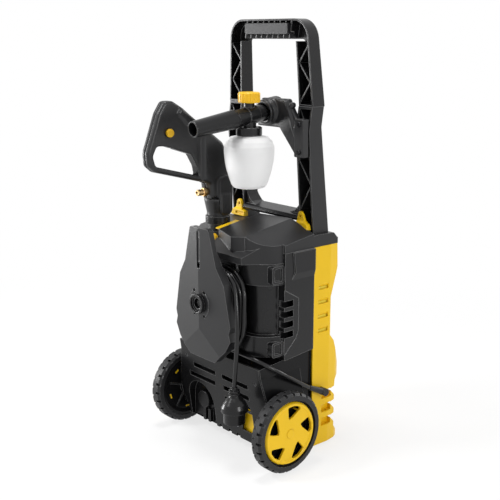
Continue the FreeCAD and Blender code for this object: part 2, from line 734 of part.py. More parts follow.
fins = []
for row in range(3):
    notch = s.fin_low + s.fin_pitch * row
    fins += [(s.fin_reach, notch - s.fin_height), (s.fin_back, notch - 1), (s.fin_back, notch),
             (s.fin_reach, notch + 1.5)]

# side view of the cover from foot to top, with its fins, belly and waist
front_side = [(s.front_foot_y, 16), (s.fin_reach, 27)] + fins + [
    (s.fin_reach + 1, 116), (s.front_belly_y, 123), (s.front_belly_y, 147),
    (s.front_waist_y + 12, 193), (s.front_waist_y, 206), (s.front_waist_y, 276),
    (s.front_top_y + 3, 328), (s.front_top_y, s.front_top)]
front_outer = common(
    "front_outer", prism("front_profile", "YZ", [(s.base_front, s.foot_pad), (s.front_foot_y, s.foot_pad)]
                         + front_side + [(s.seam_y, s.front_top), (s.seam_y, s.base_front_top),
                            (s.base_front, s.base_front_top)], -150, 150),
    prism("front_plan", "XY", [
        (-s.body_half, 60), (s.body_half, 60), (s.body_half, 128), (s.body_half - 4, 149),
        (s.body_half - 13, 166), (13 - s.body_half, 166), (4 - s.body_half, 149), (-s.body_half, 128)],
        0, 400, (2, 3, 4, 5, 6, 7), 8))
front_void = common(
    "front_void", prism("front_profile_in", "YZ", [
        (s.base_front - 20, s.foot_pad + s.wall), (s.front_foot_y - s.wall, s.foot_pad + s.wall),
        (s.front_foot_y - s.wall, 15), (s.fin_back - s.wall, 28), (s.fin_back - s.wall, 106),
        (s.fin_reach - s.wall, 119), (s.front_belly_y - s.wall, 125),
        (s.front_belly_y - s.wall, 146), (s.front_waist_y - s.wall + 12, 192),
        (s.front_waist_y - s.wall, 205),
        (s.front_waist_y - s.wall, 277), (s.front_top_y - s.wall + 3, 329),
        (s.front_top_y - s.wall, s.front_top + 10), (s.base_front - 20, s.front_top + 10)], -150, 150),
    prism("front_plan_in", "XY", [
        (s.wall - s.body_half, 50), (s.body_half - s.wall, 50), (s.body_half - s.wall, 127),
        (s.body_half - 4 - s.wall, 147), (s.body_half - 14 - s.wall, 164), (14 + s.wall - s.body_half, 164),
        (4 + s.wall - s.body_half, 147), (s.wall - s.body_half, 127)], 0, 400, (2, 3, 4, 5, 6, 7), 7))
front_cuts = []
pockets = []
pocket_x = s.body_half - 10
pocket_low = s.fin_low - s.fin_height
pocket_high = s.fin_low + s.fin_pitch * 2 + 1.5


def on_side(sign, near, far):
    """Two X limits on the chosen side of the machine."""
    return (near, far) if sign > 0 else (-far, -near)


for side, sign in (("left", -1), ("right", 1)):
    pockets.append(box("pocket_" + side, on_side(sign, pocket_x - s.wall, s.body_half - 1), (109.5, s.fin_back),
                       (pocket_low - s.wall, pocket_high + s.wall)))
    front_cuts.append(box("pocket_room_" + side, on_side(sign, pocket_x, pocket_x + 5.5),
                          (112, s.fin_back - s.wall), (pocket_low, pocket_high)))
    for row in range(3):
        notch = s.fin_low + s.fin_pitch * row
        front_cuts.append(box("scoop_%s_%d" % (side, row), on_side(sign, pocket_x, s.body_half + 5),
                              (112, s.fin_back + 3), (notch - s.fin_height + 1, notch + 1.5)))
    for row in range(4):
        low = 216 + 26 * row
        mouth, depth = sign * (s.body_half + 1), sign * (s.body_half - s.wall - 1.6)
        front_cuts.append(prism("louvre_%s_%d" % (side, row), "XZ", [
            (mouth, low), (depth, low), (depth, low + 1.5), (mouth, low + 11)], 100, 124))
front_shell = fuse("front_shell", cut("front_hollow", front_outer, front_void), *pockets)
piece("front_cover", cut("front_cover_cut", front_shell, *front_cuts))

foot_pads = [cylinder("foot_pad_" + side, 9, s.foot_pad, x, 128, 0)
             for side, x in (("left", -88), ("right", 88))]
piece("front_feet", fuse("front_feet_pair", *foot_pads))

# ---------------------------------------------------------------- handle


def zigzag(name, low, high, near, far, count):
    """Thin ribs that cross a channel to and fro between two heights."""
    step = (high - low) / count
    bars = []
    for number in range(count):
        start, end = (near, far) if number % 2 == 0 else (far, near)
        bottom = low + step * number
        bars.append(prism("%s_%d" % (name, number), "XZ", [
            (start, bottom), (end, bottom + step), (end, bottom + step + s.rib_thick * 1.6),
            (start, bottom + s.rib_thick * 1.6)], 60, 140))
    return bars


for side, sign in (("left", -1), ("right", 1)):
    span = (leg_inner, s.leg_outer) if sign > 0 else (-s.leg_outer, -leg_inner)
    inner_span = (span[0] + s.wall, span[1] - s.wall)
    leg_block = prism("leg_block_" + side, "YZ", leg_side(0, 0, s.leg_low, s.leg_joint), *span)
    leg_void = prism("leg_void_" + side, "YZ", leg_side(-25, -s.wall, s.leg_low + 4, s.leg_joint - 4),
                     *inner_span)
    rib_room = prism("leg_rib_room_" + side, "YZ", leg_side(2, -1, s.leg_low + 1, s.leg_joint - 1),
                     span[0] + 1, span[1] - 1)
    ribs = zigzag("leg_rib_" + side, 432, 600, inner_span[0], inner_span[1], 4)
    piece("leg_" + side, fuse("leg_fuse_" + side, cut("leg_channel_" + side, leg_block, leg_void),
                              common("leg_ribs_" + side, fuse("leg_rib_set_" + side, *ribs), rib_room)))

frame_out = s.leg_outer + 1.4
top_out = s.leg_outer - 9
grip_low = s.handle_top - s.grip_height


def handle_arch(name, inset, start, end):
    """The upper handle seen from behind: an arch with round shoulders and an open middle."""
    arch = prism(name + "_arch", "XZ", [
        (inset - frame_out, s.leg_joint + inset), (inset - top_out, s.handle_top - inset),
        (top_out - inset, s.handle_top - inset), (frame_out - inset, s.leg_joint + inset)],
        start, end, (1, 2), s.handle_corner - inset)
    middle = prism(name + "_middle", "XZ", [
        (frame_out - s.leg_wide + inset, s.leg_joint - 10),
        (top_out - s.leg_wide + 5 + inset, grip_low - inset),
        (s.leg_wide - 5 - top_out - inset, grip_low - inset),
        (s.leg_wide - frame_out - inset, s.leg_joint - 10)], start - 5, end + 5, (1, 2), 5)
    return cut(name, arch, middle)


def handle_side(name, back, front):
    return prism(name, "YZ", [
        (86.7 + back, s.leg_joint), (80.7 + back, s.handle_top), (104 + front, s.handle_top),
        (113.7 + front, s.leg_joint + 4), (113.7 + front, s.leg_joint)], -150, 150)


handle_block = common("handle_block", handle_arch("handle_outer", as_size(0), 60, 140),
                      handle_side("handle_outer_side", 0, 0))
handle_void = common("handle_void", handle_arch("handle_inner", s.wall, 50, 150),
                     handle_side("handle_inner_side", -25, -s.wall))
rib_bars = []
for sign in (-1, 1):
    near = (frame_out - s.leg_wide) * sign
    rib_bars += zigzag("handle_rib_%s" % ("left" if sign < 0 else "right"), s.leg_joint + 4,
                       s.handle_top - 40, near, (frame_out - 8) * sign, 3)
for number in range(9):
    x = -62 + 14 * number
    rib_bars.append(prism("grip_rib_%d" % number, "XZ", [
        (x, grip_low + 1), (x + s.rib_thick, grip_low + 1), (x + s.rib_thick + 8, s.handle_top - 1),
        (x + 8, s.handle_top - 1)], 60, 140))
rib_room = common("handle_rib_room", handle_arch("handle_rib_arch", as_size(1), 60, 140),
                  handle_side("handle_rib_side", 2, -1))
grip_room = box("grip_room", (-55, 55), (70, 92), (grip_low + 8 - 0.3, grip_low + 26.3))
piece("handle", fuse("handle_fuse", cut("handle_channel", handle_block, handle_void),
                     cut("handle_ribs", common("handle_rib_set", fuse("handle_rib_bars", *rib_bars), rib_room),
                         grip_room)))
grip = prism("grip_block", "XZ", [(-54, grip_low + 8), (54, grip_low + 8), (54, grip_low + 26),
                            (-54, grip_low + 26)], 77, 92, range(4), 3)
piece("grip_pad", grip)

bridge = cut("bridge_cut", prism("bridge_plate", "YZ", [
    (87, 416), (89, 421), (118, 426), (124, 422), (122, 417), (89, 411.5)], -leg_inner, leg_inner, (1, 2, 3), 2),
    prism("bridge_under", "YZ", [(91, 400), (91, 418.5), (119, 423.2), (119, 400)],
          4 - leg_inner, leg_inner - 4))
bridge_ribs = [box("bridge_rib_%d" % n, (x, x + 2.5), (90.5, 119), (413, 420))
               for n, x in enumerate(range(-54, 55, 18))]
haunches = []
for side, sign in (("left", -1), ("right", 1)):
    end = [(leg_inner, 414), (leg_inner, 447), (66, 436), (57, 427), (44, 422), (44, 417), (62, 414)]
    end = end if sign > 0 else [(-x, z) for x, z in reversed(end)]
    haunches.append(prism("haunch_" + side, "XZ", end, 96, 121))
piece("carry_bridge", fuse("bridge_fuse", bridge, *bridge_ribs, *haunches))

for side, sign in (("left", -1), ("right", 1)):
    face = [(64, 399), (64, 408), (73, 410.5), (76, 425), (78, 429), (84, 429), (87, 425), (91, 413), (99, 408),
            (101, 399)]
    face = face if sign > 0 else [(-x, z) for x, z in reversed(face)]
    lean = prism("bracket_lean_" + side, "YZ", [
        (83, 399), (83, 410), (86, 414), (86, 432), (90.2, 432), (92.8, 399)], -150, 150)
    plate = common("bracket_plate_" + side, lean,
                   prism("bracket_face_" + side, "XZ", face, 70, 110, (3, 4, 5, 6), 2.5))
    hole = cylinder("bracket_hole_" + side, 2.6, 40, 81 * sign, 70, 421, ALONG_Y)
    dent = (67, 88) if sign > 0 else (-88, -67)
    pocket = box("bracket_pocket_" + side, dent, (80, 85), (402, 406.5))
    piece("leg_bracket_" + side, cut("bracket_cut_" + side, plate, hole, pocket))

# ---------------------------------------------------------------- cord hanger


def hanger_outline(inset):
    """Kite outline seen from behind, mirrored about the middle."""
    half = [(25, 409), (42, 347), (60, 320), (75, 250), (71, 238), (75, 225), (63, 205), (34, 178)]
    right = [(x - inset, z - (inset if index == 0 else 0) + (inset if index == 7 else 0))
             for index, (x, z) in enumerate(half)]
    return right + [(-x, z) for x, z in reversed(right)]


def hanger_form(name, inset):
    back = s.hanger_y + s.hanger_flange
    ridge = s.hanger_y - s.hanger_ridge
    return common(name, prism(name + "_kite", "XZ", hanger_outline(inset), ridge - 5, back + inset * 2,
                              (0, 1, 3, 7, 8, 12, 14, 15), 6),
                  prism(name + "_ridge", "XY", [
                      (-80, s.hanger_y + 1 + inset), (0, ridge + inset), (80, s.hanger_y + 1 + inset),
                      (80, back + 10), (-80, back + 10)], 150, 430),
                  prism(name + "_lean", "YZ", [
                      (ridge - 2 + inset, 430), (ridge - 2 + inset, 250), (s.hanger_y + 2 + inset, 160),
                      (back + 10, 160), (back + 10, 300), (s.hanger_y + 6 + inset * 2, 372),
                      (s.hanger_y + 6 + inset * 2, 430)], -100, 100))


hanger_shell = cut("hanger_shell", hanger_form("hanger_outer", as_size(0)), hanger_form("hanger_inner", s.wall))
drum_end = s.hanger_y + 5
spigot = cylinder("hanger_spigot", 26, 20, 0, s.hanger_y - s.hanger_ridge + 1, s.hub_z, ALONG_Y)
spigot_trim = box("spigot_trim", (-40, 40), (drum_end, 0), (200, 350))
hub_hole = cylinder("hub_hole", 11.5, 40, 0, s.hanger_y - s.hanger_ridge - 12, s.hub_z, ALONG_Y)
small_holes = [cylinder("hanger_hole_%d" % n, 3, 30, 13.5 * sx, s.hanger_y - 15, s.hub_z + 21 * sz, ALONG_Y)
               for n, (sx, sz) in enumerate(((-1, -1), (-1, 1), (1, -1), (1, 1)))]
slot = prism("hanger_slot", "XZ", [(-4, 339), (4, 339), (4, 404), (-4, 404)], -90, -40, range(4), 3.8)
hanger_solid = fuse("hanger_solid", hanger_shell, spigot)
piece("hanger_plate", cut("hanger_cut", hanger_solid, spigot_trim, hub_hole, slot, *small_holes))

hub_ring = turned("hub_ring_turn", [
    (0, 8), (0, 14), (11.3, 14), (11.3, 6.7), (s.hub_ring_radius, 6.7), (s.hub_ring_radius, 0.8),
    (s.hub_ring_radius - 0.8, 0), (14.6, 0), (14, 0.8), (14, 4.4), (9.2, 4.4), (9.2, 12), (4, 12), (4, 8)],
    0, s.hanger_y - s.hanger_ridge - 7, s.hub_z, ALONG_Y)
piece("hub_ring", hub_ring)


def round_loop(name, half_wide, half_high, start, end, radius):
    """A rounded rectangle round the drum's middle."""
    return prism(name, "XZ", [
        (-half_wide, s.drum_z - half_high), (half_wide, s.drum_z - half_high),
        (half_wide, s.drum_z + half_high), (-half_wide, s.drum_z + half_high)], start, end, range(4), radius)


drum = cut("drum_cut", round_loop("drum_outer", s.drum_half, s.drum_half - 4, drum_end, s.reel_wall_y, 28),
           round_loop("drum_inner", s.drum_half - s.wall, s.drum_half - 4 - s.wall, drum_end + s.wall,
                      s.reel_wall_y + 5, 25))
bulge_room = cylinder("bulge_room", s.column_radius + s.seat_gap, 300, s.column_x, s.column_y, 150)
piece("reel_drum", cut("drum_at_bulge", drum, bulge_room))

# ---------------------------------------------------------------- mains cord

coil_back = s.hanger_y + s.hanger_flange + s.seat_gap
coil_front = -26
coil = cut("coil_cut", round_loop("coil_outer", 84, 77, coil_back, coil_front, 55),
           round_loop("coil_inner", s.drum_half + 3, s.drum_half - 1, coil_back - 5, coil_front + 5, 30))
piece("cord_coil", coil)


def tube_run(label, route, diameter):
    """A tube along straight runs joined by tangent arcs as large as the runs allow."""
    points = [FreeCAD.Vector(x, y + SIZE_TABLE["axle_y"], z) for x, y, z in route]
    edges = []
    start = points[0]
    for before, corner, after in zip(points, points[1:], points[2:]):
        back = before - corner
        ahead = after - corner
        half_turn = (math.pi - back.getAngle(ahead)) / 2
        reach = 0.45 * min(back.Length, ahead.Length)
        radius = reach / math.tan(half_turn)
        print("%s radius %.0f" % (label, radius))
        first = corner + back.normalize() * reach
        last = corner + ahead.normalize() * reach
        bisector = (back + ahead).normalize()
        middle = corner + bisector * (radius / math.cos(half_turn) - radius)
        edges.append(Part.LineSegment(start, first).toShape())
        edges.append(Part.Arc(first, middle, last).toShape())
        start = last
    edges.append(Part.LineSegment(start, points[-1]).toShape())
    path = Part.Wire(edges)
    ring = Part.Wire(Part.Circle(points[0], points[1] - points[0], diameter / 2).toShape())
    tube = path.makePipeShell([ring], True, False)
    print("%s length %.0f volume %.4f of section times length"
          % (label, path.Length, tube.Volume / (math.pi * diameter ** 2 / 4 * path.Length)))
    run = doc.addObject("Part::Feature", label)
    run.Shape = tube
    return piece(label, run)


LEAD_ROUTE = [(50, -31, 195.5), (98, -33, 195), (126, -2, 172), (124.5, 38, 146.5), (122.5, 73, 124.2)]
TAIL_ROUTE = [(70, -48, 302), (83, -57, 272), (88, -61, 238), (87, -62, 203), (84, -62.5, 174),
              (82, -62.5, 148)]
cord_diameter = SIZE_TABLE["cord_diameter"]
tube_run("cord_lead", LEAD_ROUTE, cord_diameter)
tube_run("cord_tail", TAIL_ROUTE, cord_diameter)

plug_x, plug_y, plug_top = TAIL_ROUTE[-1]
plug_body = turned("plug_turn", [
    (0, 0), (5.6, 0), (5.6, -3), (9.4, -4.5), (9.4, -7), (7.4, -8), (10, -9.5), (10, -12), (8, -13.5),
    (10, -16.5), (15, -21), (20, -27.5), (23, -34), (23.3, -41), (22.6, -42), (19, -43), (18.6, -62),
    (16.4, -62), (16.4, -47), (0, -47)], plug_x, plug_y, plug_top - 0.5)
pins = [cylinder("plug_pin_%d" % n, 2.4, 19, plug_x + dx, plug_y, plug_top - 66.7)
        for n, dx in enumerate((-9.5, 9.5))]
piece("plug", plug_body)
piece("plug_pins", fuse("plug_pin_pair", *pins))

gland_x, gland_y, gland_z = LEAD_ROUTE[-1]
gland_run = FreeCAD.Vector(0, 45, -21.2)
gland = turned("gland_turn", [(0, 0.6), (4.4, 0.6), (5.6, 30), (5.6, 33), (6.6, 34), (6.6, 37), (0, 37)])
place(gland, gland_x, gland_y, gland_z, FreeCAD.Rotation(Z, gland_run))
gland_ball = cylinder("gland_ball", 6.8, gland_x + 6.8 - s.body_half - s.seat_gap, s.body_half + s.seat_gap,
                      gland_y + 36.5, gland_z - 17.2, ALONG_X)
piece("cord_gland", fuse("gland_fuse", gland, gland_ball))

# ---------------------------------------------------------------- lance gun

gun_side = [
    (-84, 617), (-100, 617), (-113, 598), (-137, 534), (-135, 512), (-122, 501), (-24, 475), (-12, 470),
    (-8, 444), (34, 443), (33, 498), (19, 541), (-36, 583), (-62, 604)]
gun_opening = [(-118, 544), (-126, 528), (-121, 511), (-31, 487), (-34, 503), (-47, 525), (-82, 537),
               (-100, 543)]
gun_cavity = [(-82, 533), (-86, 576), (-71, 587), (-25, 553), (-5, 530), (-2, 500), (-2, 472), (-26, 472),
              (-40, 500)]
gun_loop = rounded("gun_loop", prism("gun_loop_pad", "YZ", gun_side, s.gun_x - s.loop_half,
                                     s.gun_x + s.loop_half, (0, 1, 2, 3, 4, 5), 9), 5)
gun_grip = rounded("gun_grip", prism("gun_grip_pad", "YZ", [
    (-26, 478), (-11, 470), (-8, 444), (34, 443), (33, 498), (19, 541), (-26, 574)],
    s.gun_x - s.gun_half, s.gun_x + s.gun_half, (4, 5), 16), 6)
gun_shoulder = rounded("gun_shoulder", prism("gun_shoulder_pad", "YZ", [
    (-76, 596), (-40, 560), (-12, 548), (12, 545), (-36, 582), (-68, 605)],
    s.gun_x - 13, s.gun_x + 13), 3)
gun_full = fuse("gun_full", gun_loop, gun_grip, gun_shoulder)
gun_open = prism("gun_open", "YZ", gun_opening, s.gun_x - 30, s.gun_x + 30, (0, 1, 2), 7)
trigger_room = prism("trigger_room", "YZ", gun_cavity, s.gun_x - s.trigger_half - 0.4,
                     s.gun_x + s.trigger_half + 0.4)
grip_void = prism("grip_void", "YZ", [(4, 450), (28, 450), (27, 496), (14, 536), (2, 545), (4, 500)],
                  s.gun_x - s.gun_half + s.wall, s.gun_x + s.gun_half - s.wall)
pin_hole = cylinder("pin_hole", 2.5, 24, s.gun_x - 12, s.trigger_pin_y, s.trigger_pin_z, ALONG_X)
lock_hole = cylinder("lock_hole", 5.5 + s.running_gap, 60, s.gun_x - 30, -94, 565, ALONG_X)
nipple_hole = cylinder("nipple_hole", 6.05, 30, s.gun_x, -12, 456, ALONG_Y)
gun_solid = cut("gun_solid", gun_full, gun_open, trigger_room, grip_void, pin_hole, lock_hole, nipple_hole)
left_half = box("gun_left_half", (s.gun_x - 40, s.gun_x), (-160, 60), (430, 640))
right_half = box("gun_right_half", (s.gun_x, s.gun_x + 40), (-160, 60), (430, 640))
pad_x = s.gun_x + s.gun_half
capsule = prism("gun_capsule", "YZ", [(4, 412.8), (33, 412.8), (33, 484), (4, 484)], pad_x - 3, pad_x + 6,
                range(4), 13)
ribs = [box("gun_rib_%d" % n, (pad_x + 4, pad_x + 7.2), (8.5 + 5 * n, 11 + 5 * n), (418, 452))
        for n in range(4)]
knurl = [cut("gun_capsule_cut", fuse("gun_capsule_fuse", capsule, *ribs),
             box("coupling_room", (s.gun_x - 20, s.gun_x + 19.8), (-40, 60), (400, 443)))]
piece("gun_shell_left", common("gun_left", gun_solid, left_half))
piece("gun_shell_right", fuse("gun_right_fuse", common("gun_right", gun_solid, right_half), *knurl))

trigger = prism("trigger_body", "YZ", [
    (-80, 569), (-39, 542), (-19, 527), (-12, 500), (-8, 478), (-12, 473), (-19, 475), (-30, 487), (-34, 503),
    (-47, 525), (-80, 536)], s.gun_x - s.trigger_half, s.gun_x + s.trigger_half, (0, 9, 10), 3)
trigger_bore = cylinder("trigger_bore", 2.5 + s.running_gap, 30, s.gun_x - 15, s.trigger_pin_y,
                        s.trigger_pin_z, ALONG_X)
piece("gun_trigger", cut("trigger_cut", trigger, trigger_bore))
trigger_pin = cylinder("trigger_pin", 2.5, 24, s.gun_x - 12, s.trigger_pin_y, s.trigger_pin_z, ALONG_X)
piece("gun_trigger_pin", trigger_pin)
lock = turned("lock_turn", [(0, 0), (6.6, 0), (7, 1), (7, 4), (5.5, 4), (5.5, 28), (7, 28), (7, 31), (6.6, 32),
                            (0, 32)], s.gun_x - 16, -94, 565, ALONG_X)
piece("gun_lock", lock)

nipple = turned("nipple_turn", [
    (0, 0), (4.5, 0), (5.6, 1.5), (5.6, 12), (6, 12.5), (6, 31), (0, 31)], s.gun_x, -30, 456, ALONG_Y)
nipple_hex = prism("nipple_hex", "XZ", [
    (8 * math.cos(math.radians(60 * n)), 8 * math.sin(math.radians(60 * n))) for n in range(6)], 0, 5)
place(nipple_hex, s.gun_x, -17.5, 456)
nipple_bore = cylinder("nipple_bore", 3, 20, s.gun_x, -35, 456, ALONG_Y)
piece("gun_nipple", cut("nipple_cut", fuse("nipple_fuse", nipple, nipple_hex), nipple_bore))

coupling = common("coupling_sides", turned("coupling_turn", [
    (0, 386), (9, 386), (10, 388), (10, 396), (14.4, 398), (14.4, s.holder_top + 0.3), (19.5, s.holder_top + 0.3),
    (19.5, 418), (24, 439), (24, 442.7), (0, 442.7)], s.gun_x, s.holder_y, 0),
    box("coupling_flats", (s.gun_x - 19.5, s.gun_x + 19.5), (-40, 60), (380, 450)))
piece("gun_coupling", coupling)
holder_low_face = s.holder_top - 14
cup = turned("gun_holder_turn", [
    (15.4, holder_low_face - 3), (s.holder_radius - 4.5, holder_low_face - 3),
    (s.holder_radius - 4.5, holder_low_face), (s.holder_radius, holder_low_face),
    (s.holder_radius, s.holder_top - 1),
    (s.holder_radius - 1, s.holder_top), (15.4, s.holder_top)], s.gun_x, s.holder_y, 0)

# ---------------------------------------------------------------- foam lance

lance_turn = FreeCAD.Rotation(X, s.foam_tilt.value - 90)


def along_lance(name, points):
    """Revolve a profile about the foam lance's leaning axis."""
    return turned(name, points, s.foam_x, s.foam_y, s.foam_z, lance_turn)


tube = s.foam_tube_radius
foam_barrel = along_lance("foam_barrel", [
    (0, -40), (tube - 2, -40), (tube - 2, -31), (tube - 0.5, -31), (tube - 0.5, -8), (tube + 0.5, -7),
    (tube + 0.5, 14), (tube - 1, 15), (tube - 1, 26), (tube - 2.5, 30), (9.8, 30), (9.8, 44), (13.2, 44),
    (13.2, 50), (10, 50), (10, 58), (8, 60), (0, 60)])
foam_ears = prism("foam_ears", "XZ", [(-17, -4), (17, -4), (17, 4), (-17, 4)], 0, 5)
place(foam_ears, s.foam_x, s.foam_y + 44, s.foam_z + 5.8, FreeCAD.Rotation(X, s.foam_tilt.value))
foam_stem = cylinder("foam_stem", 12, s.foam_z - s.bottle_high - 2, s.foam_x, s.foam_y, s.bottle_high + 2)
foam_neck = cylinder("foam_neck", 9, 25.3, s.foam_x, s.foam_y, s.foam_z - 4)
foam_bore = along_lance("foam_bore_turn", [(0, -50), (9, -50), (9, -38), (2, -26), (2, 80), (0, 80)])
knob_hole = cylinder("knob_hole", 4 + s.running_gap, 20, s.foam_x, s.foam_y, s.foam_z + 10)
piece("foam_body", cut("foam_body_cut", fuse("foam_body_fuse", foam_barrel, foam_ears, foam_stem, foam_neck),
                       foam_bore, knob_hole))
nozzle = along_lance("nozzle_turn", [
    (tube - 2 + s.running_gap, -31.3), (tube + 0.4, -31.3), (tube + 1, -34), (tube + 0.7, -44), (13.4, -119),
    (12.6, -120), (11.4, -120), (10.6, -116), (11.6, -60), (9.6, -40.3), (tube - 2 + s.running_gap, -40.3)])
piece("foam_nozzle", nozzle)
knob = turned("foam_knob_turn", [
    (0, s.knob_low - 10), (4, s.knob_low - 10), (4, s.knob_low + 0.6), (s.knob_radius - 1.5, s.knob_low + 0.6),
    (s.knob_radius, s.knob_low + 2), (s.knob_radius, s.knob_high - 2), (s.knob_radius - 2, s.knob_high),
    (0, s.knob_high)], s.foam_x, s.foam_y, 0)
scallops = []
for number in range(20):
    angle = math.radians(18 * number)
    reach = s.knob_radius + 0.7
    scallops.append(cylinder("scallop_%d" % number, 1.6, 30, s.foam_x + reach * math.cos(angle),
                             s.foam_y + reach * math.sin(angle), s.knob_low - 5))
piece("foam_knob", cut("foam_knob_cut", knob, *scallops))
collar_shape = turned("foam_collar_turn", [
    (12.3, s.bottle_high + 12.6), (s.collar_radius - 2, s.bottle_high + 12.6), (s.collar_radius, s.bottle_high + 11),
    (s.collar_radius, s.bottle_high - 1), (s.collar_radius - 1.4, s.bottle_high - 2), (18.6, s.bottle_high - 2),
    (18.6, s.bottle_high + 10.2), (12.3, s.bottle_high + 10.2)], s.foam_x, s.foam_y, 0)
piece("foam_collar", collar_shape)
bottle = turned("bottle_turn", [
    (0, s.bottle_low), (22, s.bottle_low), (27, 470.5), (30.5, 475), (33.5, 483), (38.4, 499), (41, 511),
    (s.bottle_radius - 1, 518), (s.bottle_radius - 0.2, 527), (s.bottle_radius, 533), (42.3, 541), (39, 549),
    (33, 555), (21, s.bottle_high - 2.3), (18.3, s.bottle_high - 2.3), (18.3, s.bottle_high + 9.9),
    (16, s.bottle_high + 9.9), (16, 555.8), (31, 552.3), (37.2, 547.5), (40.3, 540), (s.bottle_radius - 2, 532.6),
    (s.bottle_radius - 2.2, 527), (s.bottle_radius - 3, 519), (39, 512), (36.4, 500), (31.6, 484), (26.6, 473),
    (0, 473)], s.foam_x, s.foam_y, 0)
piece("foam_bottle", bottle)

plate_back = 76.3
arm = prism("arm", "XZ", [
    (63, 619), (-2, 618), (-14, 600), (-14, 570), (42, 570), (84, 524), (105, 524), (105, 587), (84, 587)],
    plate_back - 5, plate_back + 4, (0, 1, 2, 3), 4)
arm_hollow = prism("arm_hollow", "XZ", [
    (61, 615), (0, 614), (-10, 598), (-10, 574), (43, 574), (80, 533), (80, 585)],
    plate_back - 1, plate_back + 5, range(7), 2)
clamp = prism("clamp", "XZ", [(83, 524), (105, 524), (105, 588), (83, 588)], plate_back - 9,
              plate_back + 4, range(4), 2)
socket = along_lance("socket_turn", [
    (14.6, 31), (20, 31), (21, 32), (21, 35), (19, 36), (19, 41), (22, 42), (22, 66), (0, 66), (0, 62), (14.6, 62)])
ear_way = prism("ear_way", "XZ", [(-17.4, -4.4), (17.4, -4.4), (17.4, 4.4), (-17.4, 4.4)], 0, 22)
place(ear_way, s.foam_x, s.foam_y + 28, s.foam_z + 3.7, FreeCAD.Rotation(X, s.foam_tilt.value))
socket_void = along_lance("socket_void_turn", [(0, 20), (14.6, 20), (14.6, 62), (0, 62)])
brace = prism("brace", "XZ", [(56, 616), (62, 616), (86, 562), (86, 552), (82, 554)], plate_back - 8,
              plate_back - 3)
arm_tail = cylinder("arm_tail", 5, 9, 74, plate_back - 9, 609, ALONG_Y)
arm_holes = [cylinder("arm_hole_%d" % n, 2.2, 30, 95, plate_back - 12, z, ALONG_Y)
             for n, z in enumerate((533, 579))]
arm_bosses = [cylinder("arm_boss_%d" % n, 6, reach, 95, plate_back, z, ALONG_Y)
              for n, (z, reach) in enumerate(((533, 5), (579, 4)))]
arm_shell = cut("arm_shell", arm, arm_hollow)
piece("lance_holder", cut("lance_holder_cut", fuse("lance_holder_fuse", arm_shell, socket, brace, clamp, arm_tail,
                                                   *arm_bosses), socket_void, ear_way, *arm_holes))
piece("gun_holder", cup)

# ---------------------------------------------------------------- switch and inside

switch_knob = turned("switch_knob_turn", [
    (0, 0), (8.2, 0), (9.5, 1.5), (9.5, 7), (0, 7)], s.switch_x, s.reel_wall_y - 7.3, s.switch_z, ALONG_Y)
switch_wing = box("switch_wing", (s.switch_x - 1.6, s.switch_x + 1.6), (s.reel_wall_y - 11, s.reel_wall_y - 5),
                  (s.switch_z - 7.8, s.switch_z + 7.8))
switch_shaft = cylinder("switch_shaft", 3, 22, s.switch_x, s.reel_wall_y - 3, s.switch_z, ALONG_Y)
piece("power_knob", fuse("power_knob_fuse", switch_knob, switch_wing, switch_shaft))
switch_body = cut("switch_body_cut", box("switch_body", (s.switch_x - 9, s.switch_x + 9), (-5, 22), (358, 380.8)),
                  cylinder("switch_bore", 3 + s.running_gap, 30, s.switch_x, s.reel_wall_y - 3, s.switch_z,
                           ALONG_Y))
piece("switch_box", switch_body)

motor_shell = turned("motor_turn", [
    (s.shaft_radius + s.running_gap, s.motor_low), (30, s.motor_low), (s.motor_radius, s.motor_low + 6),
    (s.motor_radius, s.motor_high - 6), (30, s.motor_high), (s.shaft_radius + s.running_gap, s.motor_high),
    (s.shaft_radius + s.running_gap, s.motor_high - 4), (s.motor_radius - 3, s.motor_high - 8),
    (s.motor_radius - 3, s.motor_low + 8), (s.shaft_radius + s.running_gap, s.motor_low + 4)],
    s.motor_x, s.motor_y, 0)
piece("motor_can", motor_shell)
rotor = turned("rotor_turn", [
    (0, 178), (13, 178), (15, 182), (s.shaft_radius, 184), (s.shaft_radius, 226), (22, 226), (22, 318),
    (s.shaft_radius, 318), (s.shaft_radius, s.motor_high + 3), (26, s.motor_high + 3),
    (28, s.motor_high + 14), (6, s.motor_high + 14), (6, s.motor_high + 20), (0, s.motor_high + 20)],
    s.motor_x, s.motor_y, 0)
piece("motor_rotor", rotor)
pump_top = 128
piece("pump_body", turned("pump_turn", [
    (0, pump_top), (28, pump_top), (28, 200), (36, 206), (36, s.motor_low), (16, s.motor_low), (16, 208),
    (24, 198), (24, pump_top + 24), (0, pump_top + 24)], s.motor_x, s.motor_y, 0))
pump_block = box("pump_block", (14, 80), (20, 88 - 6), (88, pump_top))
port_in = cylinder("port_in", 5.6, 12, 10, 34, 108, ALONG_X)
port_out = cylinder("port_out", 5.6, 12, 72, 60, 108, ALONG_X)
piece("pump_head", cut("pump_head_cut", pump_block, port_in, port_out))
legs = [box("pump_leg_%d" % n, (x, x + 6), (24, 78), (23.3, 88)) for n, x in enumerate((20, 68))]
skirt = box("pump_skirt", (30, 80), (-7, -4.5), (34, 86))
bracket = box("pump_bracket", (30, 78), (-7, 30), (84, 86))
piece("pump_mount", fuse("pump_mount_fuse", box("pump_plate", (16, 78), (24, 78), (84, 88)), skirt, bracket, *legs))
inlet_route = [(-68.5, 0.3, 65), (-68.5, 34, 65), (-68.5, 34, 108), (21.6, 34, 108)]
tube_run("inlet_pipe", inlet_route, 9)
outlet = turned("outlet_turn", [
    (3, 0), (5.5, 0), (5.5, 8), (9, 8), (9, 14), (6, 15), (6, 26), (3, 26)], 72.3, 60, 108, ALONG_X)
piece("pump_outlet", outlet)

# ---------------------------------------------------------------- screws

